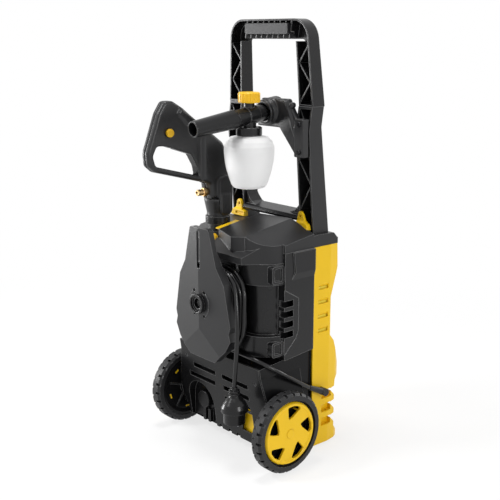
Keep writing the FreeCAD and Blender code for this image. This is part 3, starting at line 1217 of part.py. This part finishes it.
piece("hanger_screws", fuse("hanger_screw_set", *[
    cylinder("hanger_screw_%d" % n, 2.7, 6.7, 13.5 * sx, drum_end - 7, s.hub_z + 21 * sz, ALONG_Y)
    for n, (sx, sz) in enumerate(((-1, -1), (-1, 1), (1, -1), (1, 1)))]))
piece("holder_screws", fuse("holder_screw_set", *[
    turned("holder_screw_%d" % n, [(0, 0), (3.6, 0), (4.2, 1), (4.2, 2.2), (1.9, 2.2), (1.9, reach), (0, reach)],
           95, plate_back - 11.2, z, ALONG_Y) for n, (z, reach) in enumerate(((533, 16.2), (579, 15.2)))]))

# ---------------------------------------------------------------- write the files

doc.recompute()
faults = [thing.Label for thing in doc.Objects if {"Invalid", "Error"} & set(thing.State)]
if faults:
    raise RuntimeError("not rebuilt: %s" % ", ".join(faults))
os.makedirs("parts", exist_ok=True)
for part in pieces:
    if part.Shape.isNull() or not part.Shape.isValid() or not part.Shape.Solids:
        raise RuntimeError("no valid solid in %s" % part.Label)
    part.Shape.exportStep("parts/%s.step" % part.Label)
    box_now = part.Shape.BoundBox
    print("%-18s %d solids %8.1f mm3  x %.1f %.1f  y %.1f %.1f  z %.1f %.1f" % (
        part.Label, len(part.Shape.Solids), part.Shape.Volume, box_now.XMin, box_now.XMax,
        box_now.YMin, box_now.YMax, box_now.ZMin, box_now.ZMax))
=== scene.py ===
"""Pressure washer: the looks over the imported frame, laid out as an add-on."""
import math

import bmesh
import bpy
from bpy.props import FloatProperty, FloatVectorProperty, IntProperty, PointerProperty
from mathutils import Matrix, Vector


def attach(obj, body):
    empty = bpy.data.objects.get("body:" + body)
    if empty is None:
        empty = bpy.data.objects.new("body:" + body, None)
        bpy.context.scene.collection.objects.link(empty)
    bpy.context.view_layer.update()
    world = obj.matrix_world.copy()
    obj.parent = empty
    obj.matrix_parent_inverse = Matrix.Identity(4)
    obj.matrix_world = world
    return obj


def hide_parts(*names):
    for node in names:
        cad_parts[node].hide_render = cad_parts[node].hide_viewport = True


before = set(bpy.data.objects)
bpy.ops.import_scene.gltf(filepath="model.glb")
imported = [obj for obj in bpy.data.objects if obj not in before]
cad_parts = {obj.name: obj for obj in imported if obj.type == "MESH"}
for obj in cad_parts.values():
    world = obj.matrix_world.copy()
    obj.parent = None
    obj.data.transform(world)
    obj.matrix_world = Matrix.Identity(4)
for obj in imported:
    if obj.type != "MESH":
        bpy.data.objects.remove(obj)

bl_info = {
    "name": "Pressure washer",
    "version": (1, 0, 0),
    "blender": (4, 5, 0),
    "location": "View3D > Sidebar > Washer",
    "description": "Builds the pressure washer's visible pieces and its stage",
    "category": "Object",
}

AXLE_Y = -0.0118


def at(x, y, z):
    """A point in millimetres measured from the axle, as metres in the frame."""
    return Vector((x / 1000, y / 1000 + AXLE_Y, z / 1000))


# ------------------------------------------------------------------ settings

class StageSettings(bpy.types.PropertyGroup):
    camera: FloatVectorProperty(name="Camera", size=3, default=(1.17014, -0.97326, 0.72208))
    azimuth: FloatProperty(name="Azimuth", default=49.371)
    tilt: FloatProperty(name="Tilt", default=13.448)
    lens: FloatProperty(name="Lens", default=64.66)
    floor: FloatVectorProperty(name="Floor", size=3, default=(0.93, 0.93, 0.93))
    near: FloatProperty(name="Shadow floor radius", default=0.35)
    far: FloatProperty(name="White floor radius", default=1.3)
    world: FloatProperty(name="World strength", default=0.32)
    key: FloatProperty(name="Key lamp", default=46.0)


class PlasticSettings(bpy.types.PropertyGroup):
    black: FloatVectorProperty(name="Black", subtype="COLOR", size=3, default=(0.0085, 0.0085, 0.0092))
    # A darker, glossier copy of the black for the base, inlet cap, reel drum and rims: partly the base
    # panel's own plastic, partly painted shade of the recess and low parts.
    deep: FloatVectorProperty(name="Deep black", subtype="COLOR", size=3, default=(0.0065, 0.0065, 0.007))
    gun: FloatVectorProperty(name="Gun black", subtype="COLOR", size=3, default=(0.015, 0.015, 0.016))
    grey: FloatVectorProperty(name="Grey", subtype="COLOR", size=3, default=(0.0135, 0.0135, 0.0145))
    yellow: FloatVectorProperty(name="Yellow", subtype="COLOR", size=3, default=(0.845, 0.53, 0.009))
    orange: FloatVectorProperty(name="Knob yellow", subtype="COLOR", size=3, default=(0.90, 0.52, 0.02))
    # Lift of the base colour on edges and corners: a painted edge highlight.
    edge_highlight: FloatProperty(name="Painted edge highlight lift", default=0.18)
    grain: FloatProperty(name="Grain scale", default=1400.0)
    edge: FloatProperty(name="Edge rounding", default=0.0007)


class SoftSettings(bpy.types.PropertyGroup):
    voxel: FloatProperty(name="Voxel", default=0.0011, precision=4)
    rounds: IntProperty(name="Smoothing rounds", default=18)


class WheelSettings(bpy.types.PropertyGroup):
    rubber: FloatVectorProperty(name="Rubber", subtype="COLOR", size=3, default=(0.014, 0.014, 0.015))
    plug: FloatVectorProperty(name="Plug", subtype="COLOR", size=3, default=(0.007, 0.007, 0.0075))


class CordSettings(bpy.types.PropertyGroup):
    diameter: FloatProperty(name="Diameter", default=0.0075)
    per_turn: IntProperty(name="Points per turn", default=32)
    colour: FloatVectorProperty(name="Colour", subtype="COLOR", size=3, default=(0.007, 0.007, 0.0075))


class BottleSettings(bpy.types.PropertyGroup):
    colour: FloatVectorProperty(name="Bottle", subtype="COLOR", size=3, default=(0.93, 0.93, 0.93))


class MetalSettings(bpy.types.PropertyGroup):
    brass: FloatVectorProperty(name="Brass", subtype="COLOR", size=3, default=(0.86, 0.60, 0.30))
    steel: FloatVectorProperty(name="Steel", subtype="COLOR", size=3, default=(0.42, 0.42, 0.44))
    # Near-black metal for the screw heads: painted shade of their recessed holes; the trigger pin shares it.
    screw_shade: FloatVectorProperty(name="Screw shade", subtype="COLOR", size=3, default=(0.03, 0.03, 0.032))


# ------------------------------------------------------------------ materials

class Nodes:
    """A short way to lay nodes and join them."""

    def __init__(self, name):
        self.material = bpy.data.materials.new(name)
        self.material.use_nodes = True
        self.tree = self.material.node_tree
        self.shader = self.tree.nodes["Principled BSDF"]

    def add(self, kind, **values):
        node = self.tree.nodes.new(kind)
        for key, value in values.items():
            socket = node.inputs.get(key)
            if socket is not None:
                socket.default_value = value
            else:
                setattr(node, key, value)
        return node

    def join(self, source, target):
        self.tree.links.new(source, target)


def shade(colour, factor):
    return tuple(min(1.0, channel * factor) for channel in colour) + (1.0,)


def moulded(name, colour, roughness, grain_scale, grain_depth, edge, spread=0.10, edge_highlight=0.0,
            specular=0.5):
    """Moulded plastic or rubber: fine grain, slow colour drift, rounded edges and a painted highlight lifting
    the colour on edges and corners.
    """
    nodes = Nodes(name)
    shader = nodes.shader
    place = nodes.add("ShaderNodeTexCoord")
    drift = nodes.add("ShaderNodeTexNoise", Scale=14.0, Detail=4.0)
    nodes.join(place.outputs["Object"], drift.inputs["Vector"])
    grain = nodes.add("ShaderNodeTexNoise", Scale=grain_scale, Detail=3.0, Roughness=0.6)
    nodes.join(place.outputs["Object"], grain.inputs["Vector"])
    tint = nodes.add("ShaderNodeValToRGB")
    tint.color_ramp.elements[0].position = 0.3
    tint.color_ramp.elements[0].color = shade(colour, 1 - spread)
    tint.color_ramp.elements[1].position = 0.7
    tint.color_ramp.elements[1].color = shade(colour, 1 + spread)
    nodes.join(drift.outputs["Fac"], tint.inputs["Fac"])
    rough = nodes.add("ShaderNodeMapRange")
    rough.inputs["To Min"].default_value = roughness - 0.05
    rough.inputs["To Max"].default_value = roughness + 0.06
    nodes.join(drift.outputs["Fac"], rough.inputs["Value"])
    nodes.join(rough.outputs["Result"], shader.inputs["Roughness"])
    bevel = nodes.add("ShaderNodeBevel", Radius=edge)
    bevel.samples = 8
    flat = nodes.add("ShaderNodeNewGeometry")
    # On edges and corners, where the bevelled normal turns from the face normal, the base colour is mixed
    # towards a lighter one: a painted edge highlight.
    turn = nodes.add("ShaderNodeVectorMath", operation="DOT_PRODUCT")
    nodes.join(bevel.outputs["Normal"], turn.inputs[0])
    nodes.join(flat.outputs["Normal"], turn.inputs[1])
    corner = nodes.add("ShaderNodeMapRange")
    corner.inputs["From Min"].default_value = 0.99
    corner.inputs["From Max"].default_value = 0.86
    nodes.join(turn.outputs["Value"], corner.inputs["Value"])
    edge_highlight_mix = nodes.add("ShaderNodeMix", data_type="RGBA")
    edge_highlight_mix.inputs["B"].default_value = tuple(channel + edge_highlight for channel in colour) + (1.0,)
    nodes.join(corner.outputs["Result"], edge_highlight_mix.inputs["Factor"])
    nodes.join(tint.outputs["Color"], edge_highlight_mix.inputs["A"])
    nodes.join(edge_highlight_mix.outputs["Result"], shader.inputs["Base Color"])
    bump = nodes.add("ShaderNodeBump", Strength=grain_depth, Distance=0.0004)
    nodes.join(grain.outputs["Fac"], bump.inputs["Height"])
    nodes.join(bevel.outputs["Normal"], bump.inputs["Normal"])
    nodes.join(bump.outputs["Normal"], shader.inputs["Normal"])
    shader.inputs["Specular IOR Level"].default_value = specular
    return nodes.material


def metal(name, colour, roughness, edge):
    """Turned metal with fine lathe lines and a little tarnish."""
    nodes = Nodes(name)
    shader = nodes.shader
    place = nodes.add("ShaderNodeTexCoord")
    stain = nodes.add("ShaderNodeTexNoise", Scale=90.0, Detail=5.0)
    lines = nodes.add("ShaderNodeTexNoise", Scale=900.0, Detail=2.0)
    nodes.join(place.outputs["Object"], stain.inputs["Vector"])
    nodes.join(place.outputs["Object"], lines.inputs["Vector"])
    tint = nodes.add("ShaderNodeValToRGB")
    tint.color_ramp.elements[0].position = 0.35
    tint.color_ramp.elements[0].color = shade(colour, 0.78)
    tint.color_ramp.elements[1].position = 0.65
    tint.color_ramp.elements[1].color = shade(colour, 1.1)
    nodes.join(stain.outputs["Fac"], tint.inputs["Fac"])
    nodes.join(tint.outputs["Color"], shader.inputs["Base Color"])
    rough = nodes.add("ShaderNodeMapRange")
    rough.inputs["To Min"].default_value = roughness - 0.06
    rough.inputs["To Max"].default_value = roughness + 0.08
    nodes.join(lines.outputs["Fac"], rough.inputs["Value"])
    nodes.join(rough.outputs["Result"], shader.inputs["Roughness"])
    bevel = nodes.add("ShaderNodeBevel", Radius=edge)
    bump = nodes.add("ShaderNodeBump", Strength=0.12, Distance=0.0002)
    nodes.join(lines.outputs["Fac"], bump.inputs["Height"])
    nodes.join(bevel.outputs["Normal"], bump.inputs["Normal"])
    nodes.join(bump.outputs["Normal"], shader.inputs["Normal"])
    shader.inputs["Metallic"].default_value = 1.0
    return nodes.material


def dress(material, *names):
    """Give CAD nodes or pieces one material."""
    for name in names:
        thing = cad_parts.get(name) or bpy.data.objects[name]
        thing.data.materials.clear()
        thing.data.materials.append(material)


# ------------------------------------------------------------------ mesh tools

def make_piece(name, bm, body, material):
    """Turn a bmesh into a flat-shaded piece that rides on a body."""
    bmesh.ops.recalc_face_normals(bm, faces=bm.faces)
    mesh = bpy.data.meshes.new(name)
    bm.to_mesh(mesh)
    bm.free()
    for face in mesh.polygons:
        face.use_smooth = False
    mesh.materials.append(material)
    thing = bpy.data.objects.new(name, mesh)
    bpy.context.scene.collection.objects.link(thing)
    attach(thing, body)


def block(bm, x, y, z, lean=0.0):
    """A box in millimetres from the axle, leaning in Y as it rises."""
    corners = [bm.verts.new(at(a, b + lean * (c - z[0]), c)) for c in z for b in y for a in x]
    for face in ((0, 1, 3, 2), (4, 6, 7, 5), (0, 4, 5, 1), (2, 3, 7, 6), (0, 2, 6, 4), (1, 5, 7, 3)):
        bm.faces.new([corners[number] for number in face])


def applied(thing):
    """Replace an object's mesh by its evaluated one and drop its modifiers."""
    graph = bpy.context.evaluated_depsgraph_get()
    mesh = bpy.data.meshes.new_from_object(thing.evaluated_get(graph))
    thing.modifiers.clear()
    thing.data = mesh


def softened(node, body, voxel, rounds):
    """A copy of a moulding with every edge and corner really rounded over."""
    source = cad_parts[node]
    mesh = source.data.copy()
    mesh.transform(source.matrix_world)
    thing = bpy.data.objects.new(node + "_soft", mesh)
    bpy.context.scene.collection.objects.link(thing)
    remesh = thing.modifiers.new("remesh", "REMESH")
    remesh.mode = "VOXEL"
    remesh.voxel_size = voxel
    remesh.use_smooth_shade = True
    smooth = thing.modifiers.new("smooth", "SMOOTH")
    smooth.iterations = rounds
    applied(thing)
    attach(thing, body)
    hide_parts(node)
    print("softened", node, len(thing.data.polygons))


# ------------------------------------------------------------------ stage

def seen_directly(tree):
    """A factor of 1 for camera, glossy and transmission rays."""
    path = tree.nodes.new("ShaderNodeLightPath")
    total = path.outputs["Is Camera Ray"]
    for kind in ("Is Glossy Ray", "Is Transmission Ray"):
        either = tree.nodes.new("ShaderNodeMath")
        either.operation = "MAXIMUM"
        tree.links.new(total, either.inputs[0])
        tree.links.new(path.outputs[kind], either.inputs[1])
        total = either.outputs[0]
    return total


def pale_floor(colour, near, far):
    """A floor that holds the shadow near the machine and turns plain white further out."""
    nodes = Nodes("floor")
    tree = nodes.tree
    nodes.shader.inputs["Base Color"].default_value = tuple(colour) + (1,)
    nodes.shader.inputs["Roughness"].default_value = 0.95
    nodes.shader.inputs["Specular IOR Level"].default_value = 0.0
    glow = nodes.add("ShaderNodeEmission", Strength=1.0)
    place = nodes.add("ShaderNodeTexCoord")
    reach = nodes.add("ShaderNodeVectorMath", operation="LENGTH")
    nodes.join(place.outputs["Object"], reach.inputs[0])
    fade = nodes.add("ShaderNodeMapRange", interpolation_type="SMOOTHSTEP")
    fade.inputs["From Min"].default_value = near
    fade.inputs["From Max"].default_value = far
    fade.inputs["To Min"].default_value = 0.74
    nodes.join(reach.outputs["Value"], fade.inputs["Value"])
    share = nodes.add("ShaderNodeMath", operation="MULTIPLY")
    nodes.join(seen_directly(tree), share.inputs[0])
    nodes.join(fade.outputs["Result"], share.inputs[1])
    mix = nodes.add("ShaderNodeMixShader")
    nodes.join(share.outputs["Value"], mix.inputs["Fac"])
    nodes.join(nodes.shader.outputs[0], mix.inputs[1])
    nodes.join(glow.outputs[0], mix.inputs[2])
    nodes.join(mix.outputs[0], tree.nodes["Material Output"].inputs["Surface"])
    return nodes.material


# ------------------------------------------------------------------ operators

# Each lamp's name, place, size and share of the key lamp's power, all aimed at one point.
LAMP_AIM = Vector((0, 0, 0.35))
LAMPS = (("key", (-2.35, -1.15, 0.5), 0.9, 1.0),
         ("high", (-0.9, -1.7, 2.2), 0.5, 0.6),
         ("fill", (2.4, 0.1, 1.2), 0.7, 0.44),
         ("top", (-0.1, -0.2, 2.7), 0.6, 0.6),
         ("front", (0.6, 2.7, 1.3), 1.0, 0.36))
FLOOR_DROP = 0.0006


class WASHER_OT_stage(bpy.types.Operator):
    """Pale floor, soft lamps and the camera"""
    bl_idname = "washer.stage"
    bl_label = "Stage"

    def execute(self, context):
        settings = context.scene.washer_stage
        scene = context.scene
        camera_data = bpy.data.cameras.new("camera")
        camera_data.lens = settings.lens
        camera_data.clip_end = 30
        camera = bpy.data.objects.new("camera", camera_data)
        camera.location = settings.camera
        camera.rotation_euler = (math.radians(90 - settings.tilt), 0, math.radians(settings.azimuth))
        scene.collection.objects.link(camera)
        scene.camera = camera

        floor_mesh = bpy.data.meshes.new("floor")
        bm = bmesh.new()
        bmesh.ops.create_grid(bm, x_segments=1, y_segments=1, size=25)
        bm.to_mesh(floor_mesh)
        bm.free()
        floor = bpy.data.objects.new("floor", floor_mesh)
        floor.location.z = -FLOOR_DROP
        scene.collection.objects.link(floor)
        floor_mesh.materials.append(pale_floor(settings.floor, settings.near, settings.far))

        world = bpy.data.worlds.new("world")
        scene.world = world
        world.use_nodes = True
        tree = world.node_tree
        tree.nodes.clear()
        seen = tree.nodes.new("ShaderNodeBackground")
        seen.inputs["Color"].default_value = (1, 1, 1, 1)
        seen.inputs["Strength"].default_value = 1.0
        light = tree.nodes.new("ShaderNodeBackground")
        light.inputs["Color"].default_value = (1, 1, 1, 1)
        light.inputs["Strength"].default_value = settings.world
        mix = tree.nodes.new("ShaderNodeMixShader")
        tree.links.new(seen_directly(tree), mix.inputs["Fac"])
        tree.links.new(light.outputs[0], mix.inputs[1])
        tree.links.new(seen.outputs[0], mix.inputs[2])
        out = tree.nodes.new("ShaderNodeOutputWorld")
        tree.links.new(mix.outputs[0], out.inputs["Surface"])

        for name, place, size, share in LAMPS:
            lamp = bpy.data.lights.new(name, "AREA")
            lamp.shape = "DISK"
            lamp.size = size
            lamp.energy = settings.key * share
            thing = bpy.data.objects.new(name, lamp)
            thing.location = place
            thing.rotation_euler = (LAMP_AIM - Vector(place)).to_track_quat("-Z", "Y").to_euler()
            scene.collection.objects.link(thing)
        scene.view_settings.view_transform = "Standard"
        return {"FINISHED"}


DEEP_NODES = ("base_frame", "base_rear_panel", "inlet_cap", "reel_drum", "rim_left", "rim_right")
GUN_NODES = ("gun_shell_left", "gun_shell_right", "gun_coupling", "lance_holder")
BLACK_NODES = ("handle", "carry_bridge", "hub_ring", "rear_housing", "gun_trigger", "gun_holder", "foam_body",
               "foam_nozzle", "foam_collar", "switch_box")
GREY_NODES = ("top_cover", "leg_left", "leg_right", "hanger_plate")
YELLOW_NODES = ("wheel_cover_left", "wheel_cover_right", "trim_strip", "front_cover", "leg_bracket_left",
                "leg_bracket_right", "pump_mount")
ORANGE_NODES = ("foam_knob", "power_knob", "gun_lock")


class WASHER_OT_plastics(bpy.types.Operator):
    """Moulded plastics of the body, handle, gun and trim"""
    bl_idname = "washer.plastics"
    bl_label = "Plastics"

    def execute(self, context):
        s = context.scene.washer_plastic
        # Every plastic gets the same painted edge highlight lift.
        edge_highlight = {"edge_highlight": s.edge_highlight}
        black = moulded("black_plastic", s.black, 0.26, s.grain, 0.08, s.edge * 2.2, specular=0.32, **edge_highlight)
        # Darker black: partly the base panel's own plastic, partly painted shade of the recess and low parts.
        deep = moulded("deep_black_plastic", s.deep, 0.24, s.grain, 0.05, s.edge * 1.6, specular=0.15, **edge_highlight)
        gun = moulded("gun_plastic", s.gun, 0.34, s.grain * 0.8, 0.2, s.edge * 2.6, specular=0.42, **edge_highlight)
        grey = moulded("grey_textured", s.grey, 0.36, s.grain * 0.8, 0.30, s.edge * 1.6, specular=0.36, **edge_highlight)
        yellow = moulded("yellow_plastic", s.yellow, 0.34, s.grain, 0.06, s.edge * 2, spread=0.03,
                         specular=0.24)
        orange = moulded("orange_plastic", s.orange, 0.34, s.grain, 0.06, s.edge, spread=0.03, specular=0.3)
        dress(black, *BLACK_NODES)
        dress(deep, *DEEP_NODES)
        dress(gun, *GUN_NODES)
        dress(grey, *GREY_NODES)
        dress(yellow, *YELLOW_NODES)
        dress(orange, *ORANGE_NODES)
        return {"FINISHED"}


class WASHER_OT_softened(bpy.types.Operator):
    """Mouldings with broad rounded edges"""
    bl_idname = "washer.softened"
    bl_label = "Rounded mouldings"

    def execute(self, context):
        s = context.scene.washer_soft
        for node, body, rounds in (("gun_shell_left", "gun", s.rounds), ("gun_shell_right", "gun", s.rounds),
                                   ("lance_holder", "chassis", 6)):
            softened(node, body, s.voxel, rounds)
        return {"FINISHED"}


class WASHER_OT_vent_backs(bpy.types.Operator):
    """Walls inside: dark sheets behind the vents and slots as painted shade, and yellow backs behind the
    louvres
    """
    bl_idname = "washer.guards"
    bl_label = "Vent shade sheets and louvre backs"

    def execute(self, context):
        dark = bmesh.new()
        pale = bmesh.new()
        # Dark sheets stand where the vents and slots show only shade inside: painted shade. Yellow backs
        # close the louvres.
        for side in (-1, 1):
            block(dark, sorted((99 * side, 100.5 * side)), (25, 72), (216, 300))
            block(pale, sorted((110 * side, 111 * side)), (97, 126), (212, 312))
        block(dark, (2, 80), (-13, -11.5), (88, 146), -0.156)
        block(dark, (-96, -12), (-16, -14.5), (107, 146), -0.156)
        # Painted shade sheets behind the vents and slots.
        make_piece("inner_guards", dark, "chassis", bpy.data.materials["deep_black_plastic"])
        make_piece("louvre_backs", pale, "chassis", bpy.data.materials["yellow_plastic"])
        return {"FINISHED"}


class WASHER_OT_wheels(bpy.types.Operator):
    """Tyres, feet and other rubber"""
    bl_idname = "washer.wheels"
    bl_label = "Wheels and rubber"

    def execute(self, context):
        s = context.scene.washer_wheel
        # Tyres, rubber parts and the plug get a weaker painted edge highlight.
        tyre = moulded("tyre", s.rubber, 0.45, 700.0, 0.4, 0.001, spread=0.2, edge_highlight=0.06, specular=0.32)
        dress(tyre, "tyre_left", "tyre_right", "front_feet", "grip_pad", "cord_gland", "inlet_pipe")
        dress(moulded("plug_rubber", s.plug, 0.25, 700.0, 0.1, 0.001, edge_highlight=0.05, specular=0.3), "plug")
        return {"FINISHED"}


class WASHER_OT_metals(bpy.types.Operator):
    """Brass, steel and cast parts"""
    bl_idname = "washer.metals"
    bl_label = "Metals"

    def execute(self, context):
        s = context.scene.washer_metal
        dress(metal("brass", s.brass, 0.38, 0.0006), "gun_nipple", "pump_outlet")
        dress(metal("steel", s.steel, 0.35, 0.0003), "axle_left", "axle_right", "plug_pins", "motor_rotor")
        # Screw heads coloured near black: painted shade of their recessed holes; the trigger pin shares the
        # colour.
        dress(metal("screw_shade_metal", s.screw_shade, 0.4, 0.0003), "panel_screws", "hanger_screws", "holder_screws",
              "gun_trigger_pin")
        dress(metal("cast", (0.36, 0.36, 0.38), 0.5, 0.0006), "motor_can", "pump_body", "pump_head")
        return {"FINISHED"}


class WASHER_OT_bottle(bpy.types.Operator):
    """The translucent foam bottle"""
    bl_idname = "washer.bottle"
    bl_label = "Foam bottle"

    def execute(self, context):
        s = context.scene.washer_bottle
        nodes = Nodes("bottle")
        shader = nodes.shader
        place = nodes.add("ShaderNodeTexCoord")
        cloud = nodes.add("ShaderNodeTexNoise", Scale=25.0, Detail=3.0)
        nodes.join(place.outputs["Object"], cloud.inputs["Vector"])
        tint = nodes.add("ShaderNodeValToRGB")
        tint.color_ramp.elements[0].color = shade(s.colour, 0.95)
        tint.color_ramp.elements[1].color = shade(s.colour, 1.0)
        nodes.join(cloud.outputs["Fac"], tint.inputs["Fac"])
        nodes.join(tint.outputs["Color"], shader.inputs["Base Color"])
        bump = nodes.add("ShaderNodeBump", Strength=0.05, Distance=0.0005)
        nodes.join(cloud.outputs["Fac"], bump.inputs["Height"])
        nodes.join(bump.outputs["Normal"], shader.inputs["Normal"])
        shader.inputs["Roughness"].default_value = 0.55
        shader.inputs["Specular IOR Level"].default_value = 0.3
        shader.inputs["Subsurface Weight"].default_value = 0.2
        shader.inputs["Subsurface Radius"].default_value = (1.0, 1.0, 1.0)
        shader.inputs["Subsurface Scale"].default_value = 0.006
        dress(nodes.material, "foam_bottle")
        return {"FINISHED"}


# The mains cord in millimetres from the axle: its run from the gland, its tail down to the plug, and
# its winding by turns gone round, distance out from the drum and place along the drum.
LEAD = ((122.5, 73, 124.2), (124.5, 38, 146.5), (126, -2, 172), (98, -31, 194), (50, -29, 193.5))
TAIL = ((83, -57, 272), (88, -61, 238), (87, -62, 203), (84, -62.5, 174), (82, -62.5, 148))
WINDING = ((0.0, 28.0, -28.0), (0.12, 28.0, -23.3), (0.55, 4.0, -23.3), (0.7, 4.0, -31.0),
           (3.6, 26.0, -31.0), (3.75, 27.3, -39.2), (6.85, 4.1, -39.2), (7.0, 4.3, -47.5),
           (9.68, 24.8, -47.5))
DRUM_Z = 268
DRUM_CORNER = 28
STRAIGHT_X = 24
STRAIGHT_Z = 20


def loop_point(turn, spare):
    """A rounded rectangle round the drum, from its bottom middle to the left and up."""
    radius = DRUM_CORNER + spare
    quarter = STRAIGHT_X + STRAIGHT_Z + radius * math.pi / 2
    part = int(turn * 4) % 4
    along = turn * 4 % 1 * quarter
    if part % 2:
        along = quarter - along
    bend = min(max((along - STRAIGHT_X) / radius, 0), math.pi / 2)
    x = -min(along, STRAIGHT_X) - radius * math.sin(bend)
    z = -STRAIGHT_Z - radius * math.cos(bend) + max(0, along - quarter + STRAIGHT_Z)
    return (-x if part in (2, 3) else x), (-z if part in (1, 2) else z)


def coil_points(per_turn):
    """Turns laid side by side round the drum: in behind, then out, in and out again."""
    points = []
    for (begun, near, back), (ended, far, front) in zip(WINDING, WINDING[1:]):
        count = max(2, round(per_turn * (ended - begun)))
        for step in range(count):
            part = step / count
            spare = near + (far - near) * part
            x, z = loop_point(begun + (ended - begun) * part, spare)
            points.append((x, back + (front - back) * part * part * (3 - 2 * part), DRUM_Z + z))
    return points


class WASHER_OT_cord(bpy.types.Operator):
    """The mains cord on one spline, from the gland round the reel to the plug"""
    bl_idname = "washer.cord"
    bl_label = "Mains cord"

    def execute(self, context):
        s = context.scene.washer_cord
        route = list(LEAD) + coil_points(s.per_turn) + list(TAIL)
        curve = bpy.data.curves.new("mains_cord", "CURVE")
        curve.dimensions = "3D"
        spline = curve.splines.new("NURBS")
        spline.points.add(len(route) - 1)
        for point, place in zip(spline.points, route):
            point.co = (*at(*place), 1)
        spline.order_u = 3
        spline.use_endpoint_u = True
        curve.resolution_u = 4
        curve.bevel_depth = s.diameter / 2
        curve.bevel_resolution = 5
        cord = bpy.data.objects.new("mains_cord", curve)
        context.scene.collection.objects.link(cord)
        curve.materials.append(moulded("cord", s.colour, 0.22, 900.0, 0.05, 0.0003, specular=0.38))
        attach(cord, "chassis")
        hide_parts("cord_lead", "cord_coil", "cord_tail")
        line = curve.copy()
        line.bevel_depth = 0
        probe = bpy.data.objects.new("probe", line)
        context.scene.collection.objects.link(probe)
        graph = context.evaluated_depsgraph_get()
        path = bpy.data.meshes.new_from_object(probe.evaluated_get(graph))
        bpy.data.objects.remove(probe)
        return {"FINISHED"}


class WASHER_PT_panel(bpy.types.Panel):
    """Settings and buttons in the sidebar"""
    bl_label = "Pressure washer"
    bl_space_type = "VIEW_3D"
    bl_region_type = "UI"
    bl_category = "Washer"

    def draw(self, context):
        for operator in OPERATORS:
            self.layout.operator(operator.bl_idname)
        for name, _ in SETTINGS:
            group = getattr(context.scene, name)
            for key in group.__annotations__:
                self.layout.prop(group, key)


SETTINGS = (("washer_stage", StageSettings), ("washer_plastic", PlasticSettings),
            ("washer_soft", SoftSettings), ("washer_wheel", WheelSettings), ("washer_cord", CordSettings),
            ("washer_bottle", BottleSettings), ("washer_metal", MetalSettings))
OPERATORS = (WASHER_OT_stage, WASHER_OT_plastics, WASHER_OT_softened, WASHER_OT_vent_backs, WASHER_OT_wheels,
             WASHER_OT_metals, WASHER_OT_bottle, WASHER_OT_cord)


def register():
    for name, group in SETTINGS:
        bpy.utils.register_class(group)
        setattr(bpy.types.Scene, name, PointerProperty(type=group))
    for operator in OPERATORS:
        bpy.utils.register_class(operator)
    bpy.utils.register_class(WASHER_PT_panel)


def unregister():
    bpy.utils.unregister_class(WASHER_PT_panel)
    for operator in reversed(OPERATORS):
        bpy.utils.unregister_class(operator)
    for name, group in reversed(SETTINGS):
        delattr(bpy.types.Scene, name)
        bpy.utils.unregister_class(group)


def main():
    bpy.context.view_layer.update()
    register()
    for operator in OPERATORS:
        group, action = operator.bl_idname.split(".")
        getattr(getattr(bpy.ops, group), action)()


if __name__ == "__main__":
    main()
